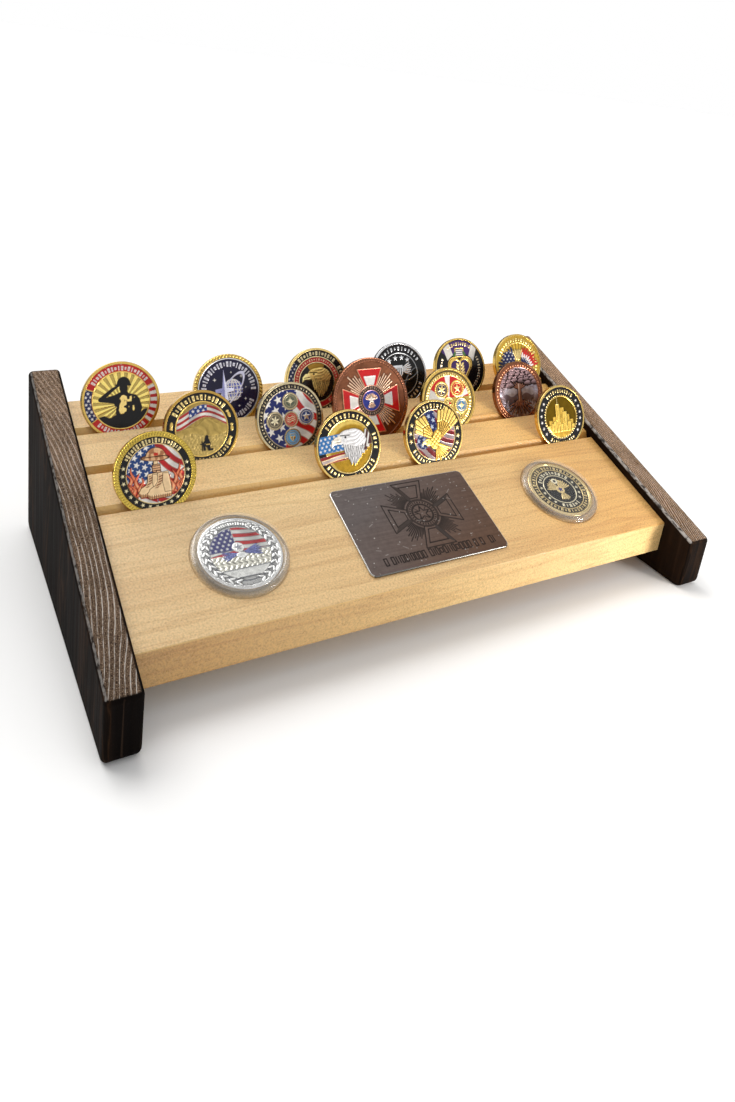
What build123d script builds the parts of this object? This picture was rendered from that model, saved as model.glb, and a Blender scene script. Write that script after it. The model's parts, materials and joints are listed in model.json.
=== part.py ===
# Desk display rack for challenge coins: two side panels, a sloping deck with
# three saw-cut coin slots, a card plaque, fifteen standing coins and two
# coins in clear screw-free capsules.
# Units are millimetres.  X runs to the right, Y to the back, Z up from the table.
import os
from math import sin, cos, tan, radians, pi

from build123d import *

os.makedirs("parts", exist_ok=True)

# ---------------------------------------------------------------- driving sizes
INNER_W = 312.0          # clear width between the side panels
PANEL_T = 15.5           # side panel thickness
DEPTH = 180.0            # side panel depth, front to back
FRONT_H = 31.0           # side panel height at the front edge
BACK_H = 94.0            # side panel height at the back edge
PANEL_CORNER = 2.8       # rounding of the panel outline's top corners
PANEL_FOOT = 5.0         # rounding of its bottom corners
PANEL_EDGE = 2.2         # rounding of the panel's long edges

SLOPE = 19.2             # deck slope, degrees from the table
DECK_L = 149.3           # deck length along the slope
DECK_T = 18.0            # deck board thickness
DECK_Y0 = 20.5           # deck's front top edge, from the panel front
DECK_Z0 = 32.3           # deck's front top edge, above the table
DECK_EASE = 0.8          # small rounding of the deck's front top edge

SLOT_LEAN = 23.3         # slots lean back this far from the vertical
SLOT_W = 3.9             # slot width, square to the slot
SLOT_DEPTH = 6.2         # slot depth, along the slot, at its centre line
SLOT_V = {1: 126.4, 2: 99.7, 3: 74.3}   # slot centres along the slope (1 = back)

DOWEL_R = 4.0            # joining dowels
DOWEL_L = 30.0
DOWEL_IN_PANEL = 9.0
DOWEL_V = (30.0, 112.0)  # dowel positions along the slope

COIN_T = 3.0             # coin thickness over the rim
COIN_R = 20.0            # common coin radius
BIG_R = 25.0             # the one large coin
RIM_W = 1.4              # raised rim width
RIM_H = 0.35             # rim height above the field, each face

PLAQUE = (115.2, 199.6, 8.2, 62.6)   # plaque left, right, front, back on the deck
PLAQUE_T = 1.2
PLAQUE_CORNER = 3.2
PLAQUE_BEVEL = 0.35

CAP_UV = ((57.9, 36.1), (255.9, 35.9))   # capsule centres on the deck
POCKET_R = 23.7          # shallow drilled pocket for a capsule
POCKET_DEPTH = 1.2
CAP_R = 23.3             # capsule outer radius
CAP_H = 4.7              # capsule height, closed
CAP_FLOOR = 1.25         # base's floor, which lifts its coin to the deck's surface
CAP_WALL = 1.0           # lid's face thickness
CAP_SPLIT = 2.6          # height of the joint between base and lid
CAP_LIP_R = 21.6         # base's upstanding lip, outer radius
CAP_RING_R = 20.3        # pocket radius for the coin
CAP_COIN_R = 20.0
CAP_COIN_T = 2.3         # a capsule's coin is a little thinner

# ---------------------------------------------------------------- frame of the deck
Y_SHIFT = -DEPTH / 2.0
s, c = sin(radians(SLOPE)), cos(radians(SLOPE))
DV = Vector(0, c, s)                 # up the slope
DN = Vector(0, -s, c)                # out of the deck
ls, lc = sin(radians(SLOT_LEAN)), cos(radians(SLOT_LEAN))
UP = Vector(0, ls, lc)               # out of a slot
BACK = Vector(0, lc, -ls)            # through a coin, towards the back
D0 = Vector(0, DECK_Y0 + Y_SHIFT, DECK_Z0)


def on_deck(u, v, w=0.0):
    """Point on the deck: u from the left panel, v up the slope, w above it."""
    return Vector(u - INNER_W / 2.0, 0, 0) + D0 + DV * v + DN * w


def deck_plane(u, v, w=0.0):
    return Plane(origin=on_deck(u, v, w), x_dir=(1, 0, 0), z_dir=DN)


def coin_plane(u, row, r, back=0.0):
    """Plane through a standing coin's centre, facing the viewer's side."""
    p = on_deck(u, SLOT_V[row]) + UP * (r - SLOT_DEPTH) + BACK * back
    return Plane(origin=p, x_dir=(1, 0, 0), z_dir=BACK * -1)


# ---------------------------------------------------------------- side panels
panel_outline = [
    (Y_SHIFT, 0.0),
    (Y_SHIFT + DEPTH, 0.0),
    (Y_SHIFT + DEPTH, BACK_H),
    (Y_SHIFT, FRONT_H),
]


def dowel_point(v):
    """Dowel centre in the Y-Z plane, halfway through the deck board."""
    p = D0 + DV * v + DN * (-DECK_T / 2.0 - 1.5)
    return p.Y, p.Z


with BuildPart() as left_side_panel:
    with BuildSketch(Plane.YZ.offset(-INNER_W / 2.0 - PANEL_T)) as left_outline:
        with BuildLine():
            Polyline(*panel_outline, close=True)
        make_face()
        fillet(left_outline.vertices().sort_by(Axis.Y)[:2], radius=PANEL_FOOT)
        fillet(left_outline.vertices().sort_by(Axis.Y)[-2:], radius=PANEL_CORNER)
    extrude(amount=PANEL_T)
    fillet(left_side_panel.faces().sort_by(Axis.X)[0].edges(), radius=PANEL_EDGE)
    fillet(left_side_panel.faces().sort_by(Axis.X)[-1].edges(), radius=PANEL_EDGE)
    with BuildSketch(Plane.YZ.offset(-INNER_W / 2.0)):
        with Locations(*[dowel_point(v) for v in DOWEL_V]):
            Circle(DOWEL_R)
    extrude(amount=-DOWEL_IN_PANEL, mode=Mode.SUBTRACT)
left_side_panel.part.label = "left_side_panel"
export_step(left_side_panel.part, "parts/left_side_panel.step")

with BuildPart() as right_side_panel:
    with BuildSketch(Plane.YZ.offset(INNER_W / 2.0)) as right_outline:
        with BuildLine():
            Polyline(*panel_outline, close=True)
        make_face()
        fillet(right_outline.vertices().sort_by(Axis.Y)[:2], radius=PANEL_FOOT)
        fillet(right_outline.vertices().sort_by(Axis.Y)[-2:], radius=PANEL_CORNER)
    extrude(amount=PANEL_T)
    fillet(right_side_panel.faces().sort_by(Axis.X)[0].edges(), radius=PANEL_EDGE)
    fillet(right_side_panel.faces().sort_by(Axis.X)[-1].edges(), radius=PANEL_EDGE)
    with BuildSketch(Plane.YZ.offset(INNER_W / 2.0)):
        with Locations(*[dowel_point(v) for v in DOWEL_V]):
            Circle(DOWEL_R)
    extrude(amount=DOWEL_IN_PANEL, mode=Mode.SUBTRACT)
right_side_panel.part.label = "right_side_panel"
export_step(right_side_panel.part, "parts/right_side_panel.step")

# ---------------------------------------------------------------- slotted deck
# Board section in Y-Z: sloping top, upright front face, square-cut back end.
front_foot = D0 + Vector(0, 0, -DECK_T / c)
back_top = D0 + DV * DECK_L
back_foot = D0 + DV * DECK_L + DN * -DECK_T
deck_outline = [
    (D0.Y, D0.Z),
    (back_top.Y, back_top.Z),
    (back_foot.Y, back_foot.Z),
    (front_foot.Y, front_foot.Z),
]
with BuildPart() as deck_board:
    with BuildSketch(Plane.YZ.offset(-INNER_W / 2.0)) as deck_section:
        with BuildLine():
            Polyline(*deck_outline, close=True)
        make_face()
        fillet(deck_section.vertices(), radius=DECK_EASE)
    extrude(amount=INNER_W)
    # three saw-cut slots, leaning back
    with BuildSketch(Plane.YZ.offset(-INNER_W / 2.0)):
        for row in (1, 2, 3):
            g = D0 + DV * SLOT_V[row]
            pts = []
            for side, along in ((-1, -SLOT_DEPTH), (1, -SLOT_DEPTH), (1, 6.0), (-1, 6.0)):
                q = g + BACK * (side * SLOT_W / 2.0) + UP * along
                pts.append((q.Y, q.Z))
            with BuildLine():
                Polyline(*pts, close=True)
            make_face()
    extrude(amount=INNER_W, mode=Mode.SUBTRACT)
    # a shallow round pocket for each capsule
    with BuildSketch(deck_plane(CAP_UV[0][0], CAP_UV[0][1])):
        Circle(POCKET_R)
    extrude(amount=-POCKET_DEPTH, mode=Mode.SUBTRACT)
    with BuildSketch(deck_plane(CAP_UV[1][0], CAP_UV[1][1])):
        Circle(POCKET_R)
    extrude(amount=-POCKET_DEPTH, mode=Mode.SUBTRACT)
    # dowel holes in both ends
    with BuildSketch(Plane.YZ.offset(-INNER_W / 2.0)):
        with Locations(*[dowel_point(v) for v in DOWEL_V]):
            Circle(DOWEL_R)
    extrude(amount=DOWEL_L - DOWEL_IN_PANEL, mode=Mode.SUBTRACT)
    with BuildSketch(Plane.YZ.offset(INNER_W / 2.0)):
        with Locations(*[dowel_point(v) for v in DOWEL_V]):
            Circle(DOWEL_R)
    extrude(amount=-(DOWEL_L - DOWEL_IN_PANEL), mode=Mode.SUBTRACT)
deck_board.part.label = "deck_board"
export_step(deck_board.part, "parts/deck_board.step")

# ---------------------------------------------------------------- dowels
for side, sign in (("left", -1), ("right", 1)):
    for place, v in (("front", DOWEL_V[0]), ("back", DOWEL_V[1])):
        y, z = dowel_point(v)
        x0 = sign * (INNER_W / 2.0 + DOWEL_IN_PANEL - 0.2)
        with BuildPart() as dowel:
            with BuildSketch(Plane(origin=(x0, y, z), x_dir=(0, 1, 0), z_dir=(-sign, 0, 0))):
                Circle(DOWEL_R - 0.02)
            extrude(amount=DOWEL_L - 0.4)
            chamfer(dowel.edges(), length=0.8)
        name = "dowel_%s_%s" % (side, place)
        dowel.part.label = name
        export_step(dowel.part, "parts/%s.step" % name)

# ---------------------------------------------------------------- card plaque
pu0, pu1, pv0, pv1 = PLAQUE
with BuildPart() as card_plaque:
    with BuildSketch(deck_plane((pu0 + pu1) / 2.0, (pv0 + pv1) / 2.0)):
        RectangleRounded(pu1 - pu0, pv1 - pv0, PLAQUE_CORNER)
    extrude(amount=PLAQUE_T)
    top = card_plaque.faces().sort_by(Axis(origin=(0, 0, 0), direction=(0, -s, c)))[-1]
    chamfer(top.edges(), length=PLAQUE_BEVEL)
card_plaque.part.label = "card_plaque"
export_step(card_plaque.part, "parts/card_plaque.step")

# ---------------------------------------------------------------- standing coins
# name: (row, distance from the left panel, radius, rim width)
COINS = {
    "coin_back_1_silhouette": (1, 24.2, COIN_R, 1.6),
    "coin_back_2_planet": (1, 82.8, COIN_R, 1.8),
    "coin_back_3_bird_head": (1, 137.2, COIN_R, 1.4),
    "coin_back_4_black_star": (1, 194.5, COIN_R, 1.8),
    "coin_back_5_heart": (1, 241.3, COIN_R, 1.2),
    "coin_back_6_winged": (1, 290.0, COIN_R, 1.2),
    "coin_middle_1_relief_flag": (2, 59.3, COIN_R, 1.4),
    "coin_middle_2_five_medallions": (2, 109.6, COIN_R, 1.6),
    "coin_middle_3_large_cross": (2, 161.4, BIG_R, 3.0),
    "coin_middle_4_branches": (2, 216.1, COIN_R, 1.4),
    "coin_middle_5_tree": (2, 271.8, COIN_R, 1.2),
    "coin_front_1_rope_rim": (3, 28.9, COIN_R, 3.4),
    "coin_front_2_white_bird": (3, 134.3, COIN_R, 1.4),
    "coin_front_3_gold_bird": (3, 190.6, COIN_R, 1.4),
    "coin_front_4_skyline": (3, 288.5, COIN_R, 1.6),
}
for name, (row, u, r, rim) in COINS.items():
    with BuildPart() as coin:
        with BuildSketch(coin_plane(u, row, r, back=COIN_T / 2.0)):
            Circle(r)
        extrude(amount=COIN_T)
        chamfer(coin.edges(), length=0.25)
        with BuildSketch(coin_plane(u, row, r, back=-COIN_T / 2.0)):
            Circle(r - rim)
        extrude(amount=-RIM_H, mode=Mode.SUBTRACT)
        with BuildSketch(coin_plane(u, row, r, back=COIN_T / 2.0)):
            Circle(r - rim)
        extrude(amount=RIM_H, mode=Mode.SUBTRACT)
    coin.part.label = name
    export_step(coin.part, "parts/%s.step" % name)

# ---------------------------------------------------------------- capsules
for side, (u, v) in zip(("left", "right"), CAP_UV):
    with BuildPart() as capsule_base:
        with BuildSketch(deck_plane(u, v, -POCKET_DEPTH)):
            Circle(CAP_R)
        extrude(amount=CAP_SPLIT)
        with BuildSketch(deck_plane(u, v, CAP_SPLIT - POCKET_DEPTH)):
            Circle(CAP_LIP_R)
        extrude(amount=CAP_H - CAP_WALL - CAP_SPLIT - 0.1)
        with BuildSketch(deck_plane(u, v, CAP_FLOOR - POCKET_DEPTH)):
            Circle(CAP_RING_R)
        extrude(amount=CAP_H, mode=Mode.SUBTRACT)
    capsule_base.part.label = "capsule_base_" + side
    export_step(capsule_base.part, "parts/capsule_base_%s.step" % side)

    with BuildPart() as capsule_lid:
        with BuildSketch(deck_plane(u, v, CAP_SPLIT - POCKET_DEPTH)):
            Circle(CAP_R)
        extrude(amount=CAP_H - CAP_SPLIT)
        with BuildSketch(deck_plane(u, v, CAP_SPLIT - POCKET_DEPTH)):
            Circle(CAP_LIP_R + 0.1)
        extrude(amount=CAP_H - CAP_WALL - CAP_SPLIT, mode=Mode.SUBTRACT)
    capsule_lid.part.label = "capsule_lid_" + side
    export_step(capsule_lid.part, "parts/capsule_lid_%s.step" % side)

    with BuildPart() as capsule_coin:
        with BuildSketch(deck_plane(u, v, CAP_FLOOR - POCKET_DEPTH)):
            Circle(CAP_COIN_R)
        extrude(amount=CAP_COIN_T)
        chamfer(capsule_coin.edges(), length=0.25)
        with BuildSketch(deck_plane(u, v, CAP_FLOOR + CAP_COIN_T - POCKET_DEPTH)):
            Circle(CAP_COIN_R - 1.4)
        extrude(amount=-RIM_H, mode=Mode.SUBTRACT)
        with BuildSketch(deck_plane(u, v, CAP_FLOOR - POCKET_DEPTH)):
            Circle(CAP_COIN_R - 1.4)
        extrude(amount=RIM_H, mode=Mode.SUBTRACT)
    capsule_coin.part.label = "capsule_coin_" + side
    export_step(capsule_coin.part, "parts/capsule_coin_%s.step" % side)
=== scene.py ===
import json
import math

import bmesh
import bpy
import numpy as np
from mathutils import Matrix, Vector


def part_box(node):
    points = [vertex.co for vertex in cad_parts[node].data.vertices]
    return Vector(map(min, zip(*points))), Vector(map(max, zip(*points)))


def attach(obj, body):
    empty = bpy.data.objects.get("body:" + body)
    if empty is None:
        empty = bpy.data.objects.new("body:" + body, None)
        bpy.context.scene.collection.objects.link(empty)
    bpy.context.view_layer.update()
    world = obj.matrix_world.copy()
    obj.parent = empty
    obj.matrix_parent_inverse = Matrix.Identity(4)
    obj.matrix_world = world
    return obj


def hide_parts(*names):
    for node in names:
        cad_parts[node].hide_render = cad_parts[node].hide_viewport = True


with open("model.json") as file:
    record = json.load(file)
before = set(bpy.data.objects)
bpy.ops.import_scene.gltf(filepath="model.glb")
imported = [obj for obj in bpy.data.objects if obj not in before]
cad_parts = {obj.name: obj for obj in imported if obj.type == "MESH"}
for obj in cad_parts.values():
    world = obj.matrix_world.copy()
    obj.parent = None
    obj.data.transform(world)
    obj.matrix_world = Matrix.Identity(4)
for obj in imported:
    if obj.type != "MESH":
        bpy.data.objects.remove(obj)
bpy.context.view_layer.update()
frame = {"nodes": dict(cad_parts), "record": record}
NODES = frame["nodes"]
MM = 0.001
WORLD_LOW, WORLD_MID, WORLD_TOP = 0.22, 0.42, 0.80
# soft lit panels of the studio: direction, cosine where each begins and is full, level
SOFT_PATCHES = (((0.42, -0.83, 0.35), 0.76, 0.955, 0.60), ((0.68, 0.16, 0.72), 0.90, 0.985, 0.45), ((0.14, 0.42, 0.90), 0.975, 0.992, 3.2))

SLOPE = math.radians(19.2)
LEAN = math.radians(23.3)
SN = Vector((0, -math.sin(SLOPE), math.cos(SLOPE)))     # out of the deck
SV = Vector((0, math.cos(SLOPE), math.sin(SLOPE)))      # up the deck
UPC = Vector((0, math.sin(LEAN), math.cos(LEAN)))       # out of a slot
FACE = Vector((0, -math.cos(LEAN), math.sin(LEAN)))     # a standing coin's front


def lin(r, g, b):
    c = np.array([r, g, b], float) / 255.0
    return np.where(c <= 0.04045, c / 12.92, ((c + 0.055) / 1.055) ** 2.4)


# ------------------------------------------------------------------ camera
def make_camera():
    W = 0.312
    az, el, roll, f = 0.5579, 0.3016, 0.1312, 823.57
    pos = Vector((-0.2538 * W - 0.156, -0.7975 * W - 0.09, 0.8580 * W))
    fwd = Vector((math.sin(az) * math.cos(el), math.cos(az) * math.cos(el), -math.sin(el)))
    right = Vector((math.cos(az), -math.sin(az), 0))
    up = right.cross(fwd)
    r2 = math.cos(roll) * right + math.sin(roll) * up
    u2 = -math.sin(roll) * right + math.cos(roll) * up
    m = Matrix(((r2.x, u2.x, -fwd.x, pos.x), (r2.y, u2.y, -fwd.y, pos.y), (r2.z, u2.z, -fwd.z, pos.z), (0, 0, 0, 1)))
    cam = bpy.data.cameras.new("camera")
    cam.sensor_width = 36.0
    cam.lens = f * 36.0 / 1102.0
    cam.shift_y = (320.6 - 551.0) / 1102.0
    cam.clip_start = 0.01
    ob = bpy.data.objects.new("camera", cam)
    ob.matrix_world = m
    bpy.context.scene.collection.objects.link(ob)
    bpy.context.scene.camera = ob
    return ob


make_camera()


# ------------------------------------------------------------------ node helpers
def mat_new(name):
    m = bpy.data.materials.new(name)
    m.use_nodes = True
    nt = m.node_tree
    nt.nodes.clear()
    out = nt.nodes.new("ShaderNodeOutputMaterial")
    p = nt.nodes.new("ShaderNodeBsdfPrincipled")
    nt.links.new(p.outputs[0], out.inputs[0])
    return m, nt, p, out


def nd(nt, kind, props=None, **ins):
    n = nt.nodes.new(kind)
    for k, v in (props or {}).items():
        setattr(n, k, v)
    for k, v in ins.items():
        key = int(k[1:]) if k[0] == "i" and k[1:].isdigit() else k.replace("_", " ")
        if isinstance(v, bpy.types.NodeSocket):
            nt.links.new(v, n.inputs[key])
        else:
            n.inputs[key].default_value = v
    return n


def math_(nt, op, a, b=0.0, c=None, clamp=False):
    n = nt.nodes.new("ShaderNodeMath")
    n.operation = op
    n.use_clamp = clamp
    for i, v in enumerate((a, b, c)):
        if v is None:
            continue
        if isinstance(v, bpy.types.NodeSocket):
            nt.links.new(v, n.inputs[i])
        else:
            n.inputs[i].default_value = v
    return n.outputs[0]


def ramp(nt, fac, stops, interp="LINEAR"):
    n = nt.nodes.new("ShaderNodeValToRGB")
    n.color_ramp.interpolation = interp
    els = n.color_ramp.elements
    while len(els) < len(stops):
        els.new(0.5)
    for e, (p, c) in zip(els, stops):
        e.position = p
        e.color = tuple(c) + (1.0,) if len(c) == 3 else tuple(c)
    nt.links.new(fac, n.inputs[0])
    return n.outputs[0]


def mix(nt, fac, a, b, mode="MIX"):
    n = nt.nodes.new("ShaderNodeMix")
    n.data_type = "RGBA"
    n.blend_type = mode
    for i, v in ((0, fac), (6, a), (7, b)):
        if isinstance(v, bpy.types.NodeSocket):
            nt.links.new(v, n.inputs[i])
        elif i == 0:
            n.inputs[0].default_value = v
        else:
            n.inputs[i].default_value = tuple(v) + (1.0,) if len(v) == 3 else tuple(v)
    return n.outputs[2]


def coords(nt, scale, rot=(0, 0, 0), loc=(0, 0, 0)):
    tc = nt.nodes.new("ShaderNodeTexCoord")
    mp = nt.nodes.new("ShaderNodeMapping")
    mp.inputs["Location"].default_value = loc
    mp.inputs["Rotation"].default_value = rot
    mp.inputs["Scale"].default_value = scale
    nt.links.new(tc.outputs["Object"], mp.inputs[0])
    return mp.outputs[0]


def noise(nt, vec, scale=1.0, detail=3.0, rough=0.5, dist=0.0):
    n = nt.nodes.new("ShaderNodeTexNoise")
    n.inputs["Scale"].default_value = scale
    n.inputs["Detail"].default_value = detail
    n.inputs["Roughness"].default_value = rough
    n.inputs["Distortion"].default_value = dist
    nt.links.new(vec, n.inputs["Vector"])
    return n.outputs[0]


def facing(nt, direction, lo, hi):
    """0 to 1 as the surface normal turns towards a fixed direction in the row frame."""
    g = nt.nodes.new("ShaderNodeNewGeometry")
    d = nt.nodes.new("ShaderNodeVectorMath")
    d.operation = "DOT_PRODUCT"
    nt.links.new(g.outputs["Normal"], d.inputs[0])
    d.inputs[1].default_value = tuple(direction)
    m = nt.nodes.new("ShaderNodeMapRange")
    m.inputs["From Min"].default_value = lo
    m.inputs["From Max"].default_value = hi
    nt.links.new(d.outputs["Value"], m.inputs[0])
    return m.outputs[0]


def bump(nt, height, strength, dist):
    b = nt.nodes.new("ShaderNodeBump")
    b.inputs["Strength"].default_value = strength
    b.inputs["Distance"].default_value = dist
    nt.links.new(height, b.inputs["Height"])
    return b.outputs[0]


# ------------------------------------------------------------------ wood
def maple():
    m, nt, p, out = mat_new("maple")
    rot = (-SLOPE, 0, math.radians(-4.0))
    # slow colour drift, growth lines running along the board, short pores
    drift = noise(nt, coords(nt, (2.2, 9, 9), rot), 1.0, 2.0, 0.5, 0.4)
    lines = noise(nt, coords(nt, (2.4, 52, 26), rot), 1.0, 3.0, 0.55, 1.3)
    hairs = noise(nt, coords(nt, (5.0, 260, 120), rot), 1.0, 2.0, 0.55, 0.6)
    fine = noise(nt, coords(nt, (24, 900, 900), rot), 1.0, 2.0, 0.6)
    speck = noise(nt, coords(nt, (1050, 1050, 1050), rot), 1.0, 1.0, 0.5)
    base = ramp(nt, drift, [(0.25, lin(210, 165, 98)), (0.55, lin(219, 179, 112)), (0.8, lin(214, 168, 100))])
    dark = ramp(nt, lines, [(0.40, (0, 0, 0)), (0.455, (1, 1, 1)), (0.475, (0, 0, 0)), (0.55, (0, 0, 0)), (0.585, (0.8,) * 3), (0.60, (0, 0, 0))])
    c1 = mix(nt, math_(nt, "MULTIPLY", dark, 0.34), base, lin(178, 124, 64))
    c1 = mix(nt, math_(nt, "MULTIPLY", ramp(nt, hairs, [(0.36, (1, 1, 1)), (0.50, (0, 0, 0))]), 0.16), c1, lin(184, 132, 72))
    pores = ramp(nt, fine, [(0.30, (1, 1, 1)), (0.42, (0, 0, 0))])
    c2 = mix(nt, math_(nt, "MULTIPLY", pores, 0.22), c1, lin(176, 124, 64))
    # fine pale and dark specks multiply the colour: painted glints standing in for sparkle
    c2 = mix(nt, 1.0, c2, ramp(nt, speck, [(0.35, (0.87,) * 3), (0.65, (1.11,) * 3)]), "MULTIPLY")
    # the slot walls are painted a deeper, yellower orange: painted shade on the groove walls
    slotf = facing(nt, tuple(FACE), 0.93, 0.985)
    slotb = facing(nt, tuple(-FACE), 0.93, 0.985)
    cut = math_(nt, "ADD", slotf, slotb, clamp=True)
    c3 = mix(nt, math_(nt, "MULTIPLY", cut, 0.75), c2, lin(218, 168, 84))
    # painted light: a painted sheen makes the board paler and bluer at the left and warmer at the right, and it is
    # painted paler towards the back to lift the coins' shadows
    at = nt.nodes.new("ShaderNodeSeparateXYZ")
    nt.links.new(coords(nt, (1, 1, 1)), at.inputs[0])
    across = math_(nt, "ADD", math_(nt, "MULTIPLY", at.outputs[0], 1 / 0.312), 0.5, clamp=True)
    painted_light_tone = ramp(nt, across, [(0.10, (0.95, 1.07, 1.50)), (0.50, (0.99, 1.10, 1.46)), (0.90, (0.93, 0.85, 0.78))])
    back = ramp(nt, math_(nt, "ADD", math_(nt, "MULTIPLY", at.outputs[1], 1 / 0.18), 0.5, clamp=True), [(0.40, (1, 1, 1)), (0.60, (1.20, 1.18, 1.06))])
    painted_light_tone = mix(nt, 1.0, painted_light_tone, back, "MULTIPLY")
    # the front face is painted darker at the left and paler at the right: painted shade and a painted sheen
    front = ramp(nt, across, [(0.08, (0.72, 0.58, 0.38)), (0.50, (1.02, 1.12, 1.30)), (0.92, (1.25, 1.38, 1.70))])
    painted_light_tone = mix(nt, facing(nt, tuple(-SV), 0.88, 0.97), painted_light_tone, front)
    c3 = mix(nt, 1.0, c3, painted_light_tone, "MULTIPLY")
    nt.links.new(c3, p.inputs["Base Color"])
    rgh = ramp(nt, speck, [(0.3, (0.26,) * 3), (0.7, (0.50,) * 3)])
    nt.links.new(rgh, p.inputs["Roughness"])
    h = math_(nt, "ADD", math_(nt, "MULTIPLY", fine, 0.4), math_(nt, "MULTIPLY", speck, 1.5))
    nt.links.new(bump(nt, h, 0.8, 0.00022), p.inputs["Normal"])
    p.inputs["Specular IOR Level"].default_value = 0.5
    p.inputs["Coat Weight"].default_value = 0.15
    p.inputs["Coat Roughness"].default_value = 0.2
    return m


def beech():
    m, nt, p, out = mat_new("beech_dowel")
    n = noise(nt, coords(nt, (20, 500, 500)), 1.0, 3.0)
    nt.links.new(ramp(nt, n, [(0.3, lin(196, 152, 100)), (0.7, lin(222, 182, 130))]), p.inputs["Base Color"])
    nt.links.new(bump(nt, n, 0.3, 0.0001), p.inputs["Normal"])
    p.inputs["Roughness"].default_value = 0.6
    return m


def espresso(inner_sign, seed):
    """Dark stained softwood: upright grain on the faces, curving growth rings along the sawn sloping top."""
    m, nt, p, out = mat_new("espresso_%d" % seed)
    off = (seed * 0.37, seed * 0.21, 0)
    # faces: long upright streaks, with a broad arching figure
    streak = noise(nt, coords(nt, (420, 360, 7.0), loc=off), 1.0, 3.0, 0.6, 0.25)
    broad = noise(nt, coords(nt, (60, 40, 7.0), loc=off), 1.0, 3.0, 0.55, 1.8)
    face_c = ramp(nt, broad, [(0.30, lin(10, 7, 6)), (0.50, lin(18, 12, 9)), (0.57, lin(28, 18, 12)), (0.60, lin(44, 29, 18)), (0.63, lin(20, 13, 9)), (0.72, lin(12, 8, 6))])
    hair = ramp(nt, streak, [(0.58, (0, 0, 0)), (0.72, (1, 1, 1))])
    face_c = mix(nt, math_(nt, "MULTIPLY", hair, 0.40), face_c, lin(84, 66, 54))
    # sloping top: growth rings as flat curves, square to the length nowhere, with thin pale broken ridges: dust in the
    # grain and a painted sheen on the ridges
    rot = (-SLOPE, 0, 0)
    sep = nt.nodes.new("ShaderNodeSeparateXYZ")
    nt.links.new(coords(nt, (1, 1, 1), rot), sep.inputs[0])
    bend = noise(nt, coords(nt, (40, 11, 26), rot, off), 1.0, 2.0, 0.5, 0.2)
    jag = noise(nt, coords(nt, (700, 260, 300), rot, off), 1.0, 3.0, 0.7)
    dy = math_(nt, "SUBTRACT", sep.outputs[1], RING_MID[seed])
    curve = math_(nt, "MULTIPLY", math_(nt, "MULTIPLY", dy, dy), RING_BEND[seed])
    x = math_(nt, "ADD", math_(nt, "ADD", sep.outputs[0], curve), math_(nt, "MULTIPLY", bend, 0.0075))
    x = math_(nt, "ADD", x, math_(nt, "MULTIPLY", jag, 0.0006))
    wave = math_(nt, "ADD", math_(nt, "MULTIPLY", math_(nt, "SINE", math_(nt, "MULTIPLY", x, 2 * math.pi / RING_PITCH[seed])), 0.5), 0.5)
    wave2 = math_(nt, "ADD", math_(nt, "MULTIPLY", math_(nt, "SINE", math_(nt, "MULTIPLY", x, 2 * math.pi / (RING_PITCH[seed] * 0.37))), 0.5), 0.5)
    pits = noise(nt, coords(nt, (1500, 900, 900), rot, off), 1.0, 2.0, 0.6)
    grit = noise(nt, coords(nt, (2300, 1900, 1900), rot, off), 1.0, 1.0, 0.5)
    patchy = noise(nt, coords(nt, (120, 34, 60), rot, off), 1.0, 3.0, 0.6)
    top_c = ramp(nt, math_(nt, "ADD", math_(nt, "MULTIPLY", wave, 0.55), math_(nt, "MULTIPLY", wave2, 0.45)), [(0.05, lin(76, 61, 50)), (0.5, lin(94, 78, 65)), (1.0, lin(122, 105, 91))])
    top_c = mix(nt, 1.0, top_c, ramp(nt, patchy, [(0.30, (0.62,) * 3), (0.70, (1.20,) * 3)]), "MULTIPLY")
    top_c = mix(nt, math_(nt, "MULTIPLY", ramp(nt, pits, [(0.36, (1, 1, 1)), (0.47, (0, 0, 0))]), 0.75), top_c, lin(26, 19, 15))
    top_c = mix(nt, math_(nt, "MULTIPLY", ramp(nt, grit, [(0.58, (0, 0, 0)), (0.68, (1, 1, 1))]), 0.55), top_c, lin(176, 152, 128))
    top_c = mix(nt, 1.0, top_c, TOP_TONE[seed], "MULTIPLY")
    if seed == 2:
        top_c = mix(nt, 1.0, top_c, ramp(nt, wave, [(0.10, (0.50,) * 3), (0.50, (1.22,) * 3)]), "MULTIPLY")
    # the top is painted paler towards the back and darker at the low front: painted light and shade
    along = math_(nt, "ADD", math_(nt, "MULTIPLY", sep.outputs[1], 1 / 0.19), 0.5, clamp=True)
    top_c = mix(nt, 1.0, top_c, ramp(nt, along, [(q, (v,) * 3) for q, v in TOP_PAINTED_LIGHT[seed]]), "MULTIPLY")
    ridge_dust_and_sheen = ramp(nt, wave, [(0.95, (0, 0, 0)), (0.99, (1, 1, 1))])
    broken = ramp(nt, math_(nt, "ADD", math_(nt, "MULTIPLY", jag, 0.6), math_(nt, "MULTIPLY", patchy, 0.4)), [(0.40, (0.05,) * 3), (0.52, (1, 1, 1))])
    # the pale ridges, dust and painted sheen, are stronger towards the low front
    ridge_strength = nt.nodes.new("ShaderNodeMapRange")
    ridge_strength.inputs["From Min"].default_value = 0.105
    ridge_strength.inputs["From Max"].default_value = 0.010
    ridge_strength.inputs["To Min"].default_value = 0.35 * PALE[seed]
    ridge_strength.inputs["To Max"].default_value = PALE[seed]
    nt.links.new(sep.outputs[1], ridge_strength.inputs[0])
    top_c = mix(nt, math_(nt, "MULTIPLY", ridge_dust_and_sheen, math_(nt, "MULTIPLY", broken, ridge_strength.outputs[0])), top_c, lin(204, 199, 193))
    top = facing(nt, tuple(SN), 0.90, 0.985)
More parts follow.
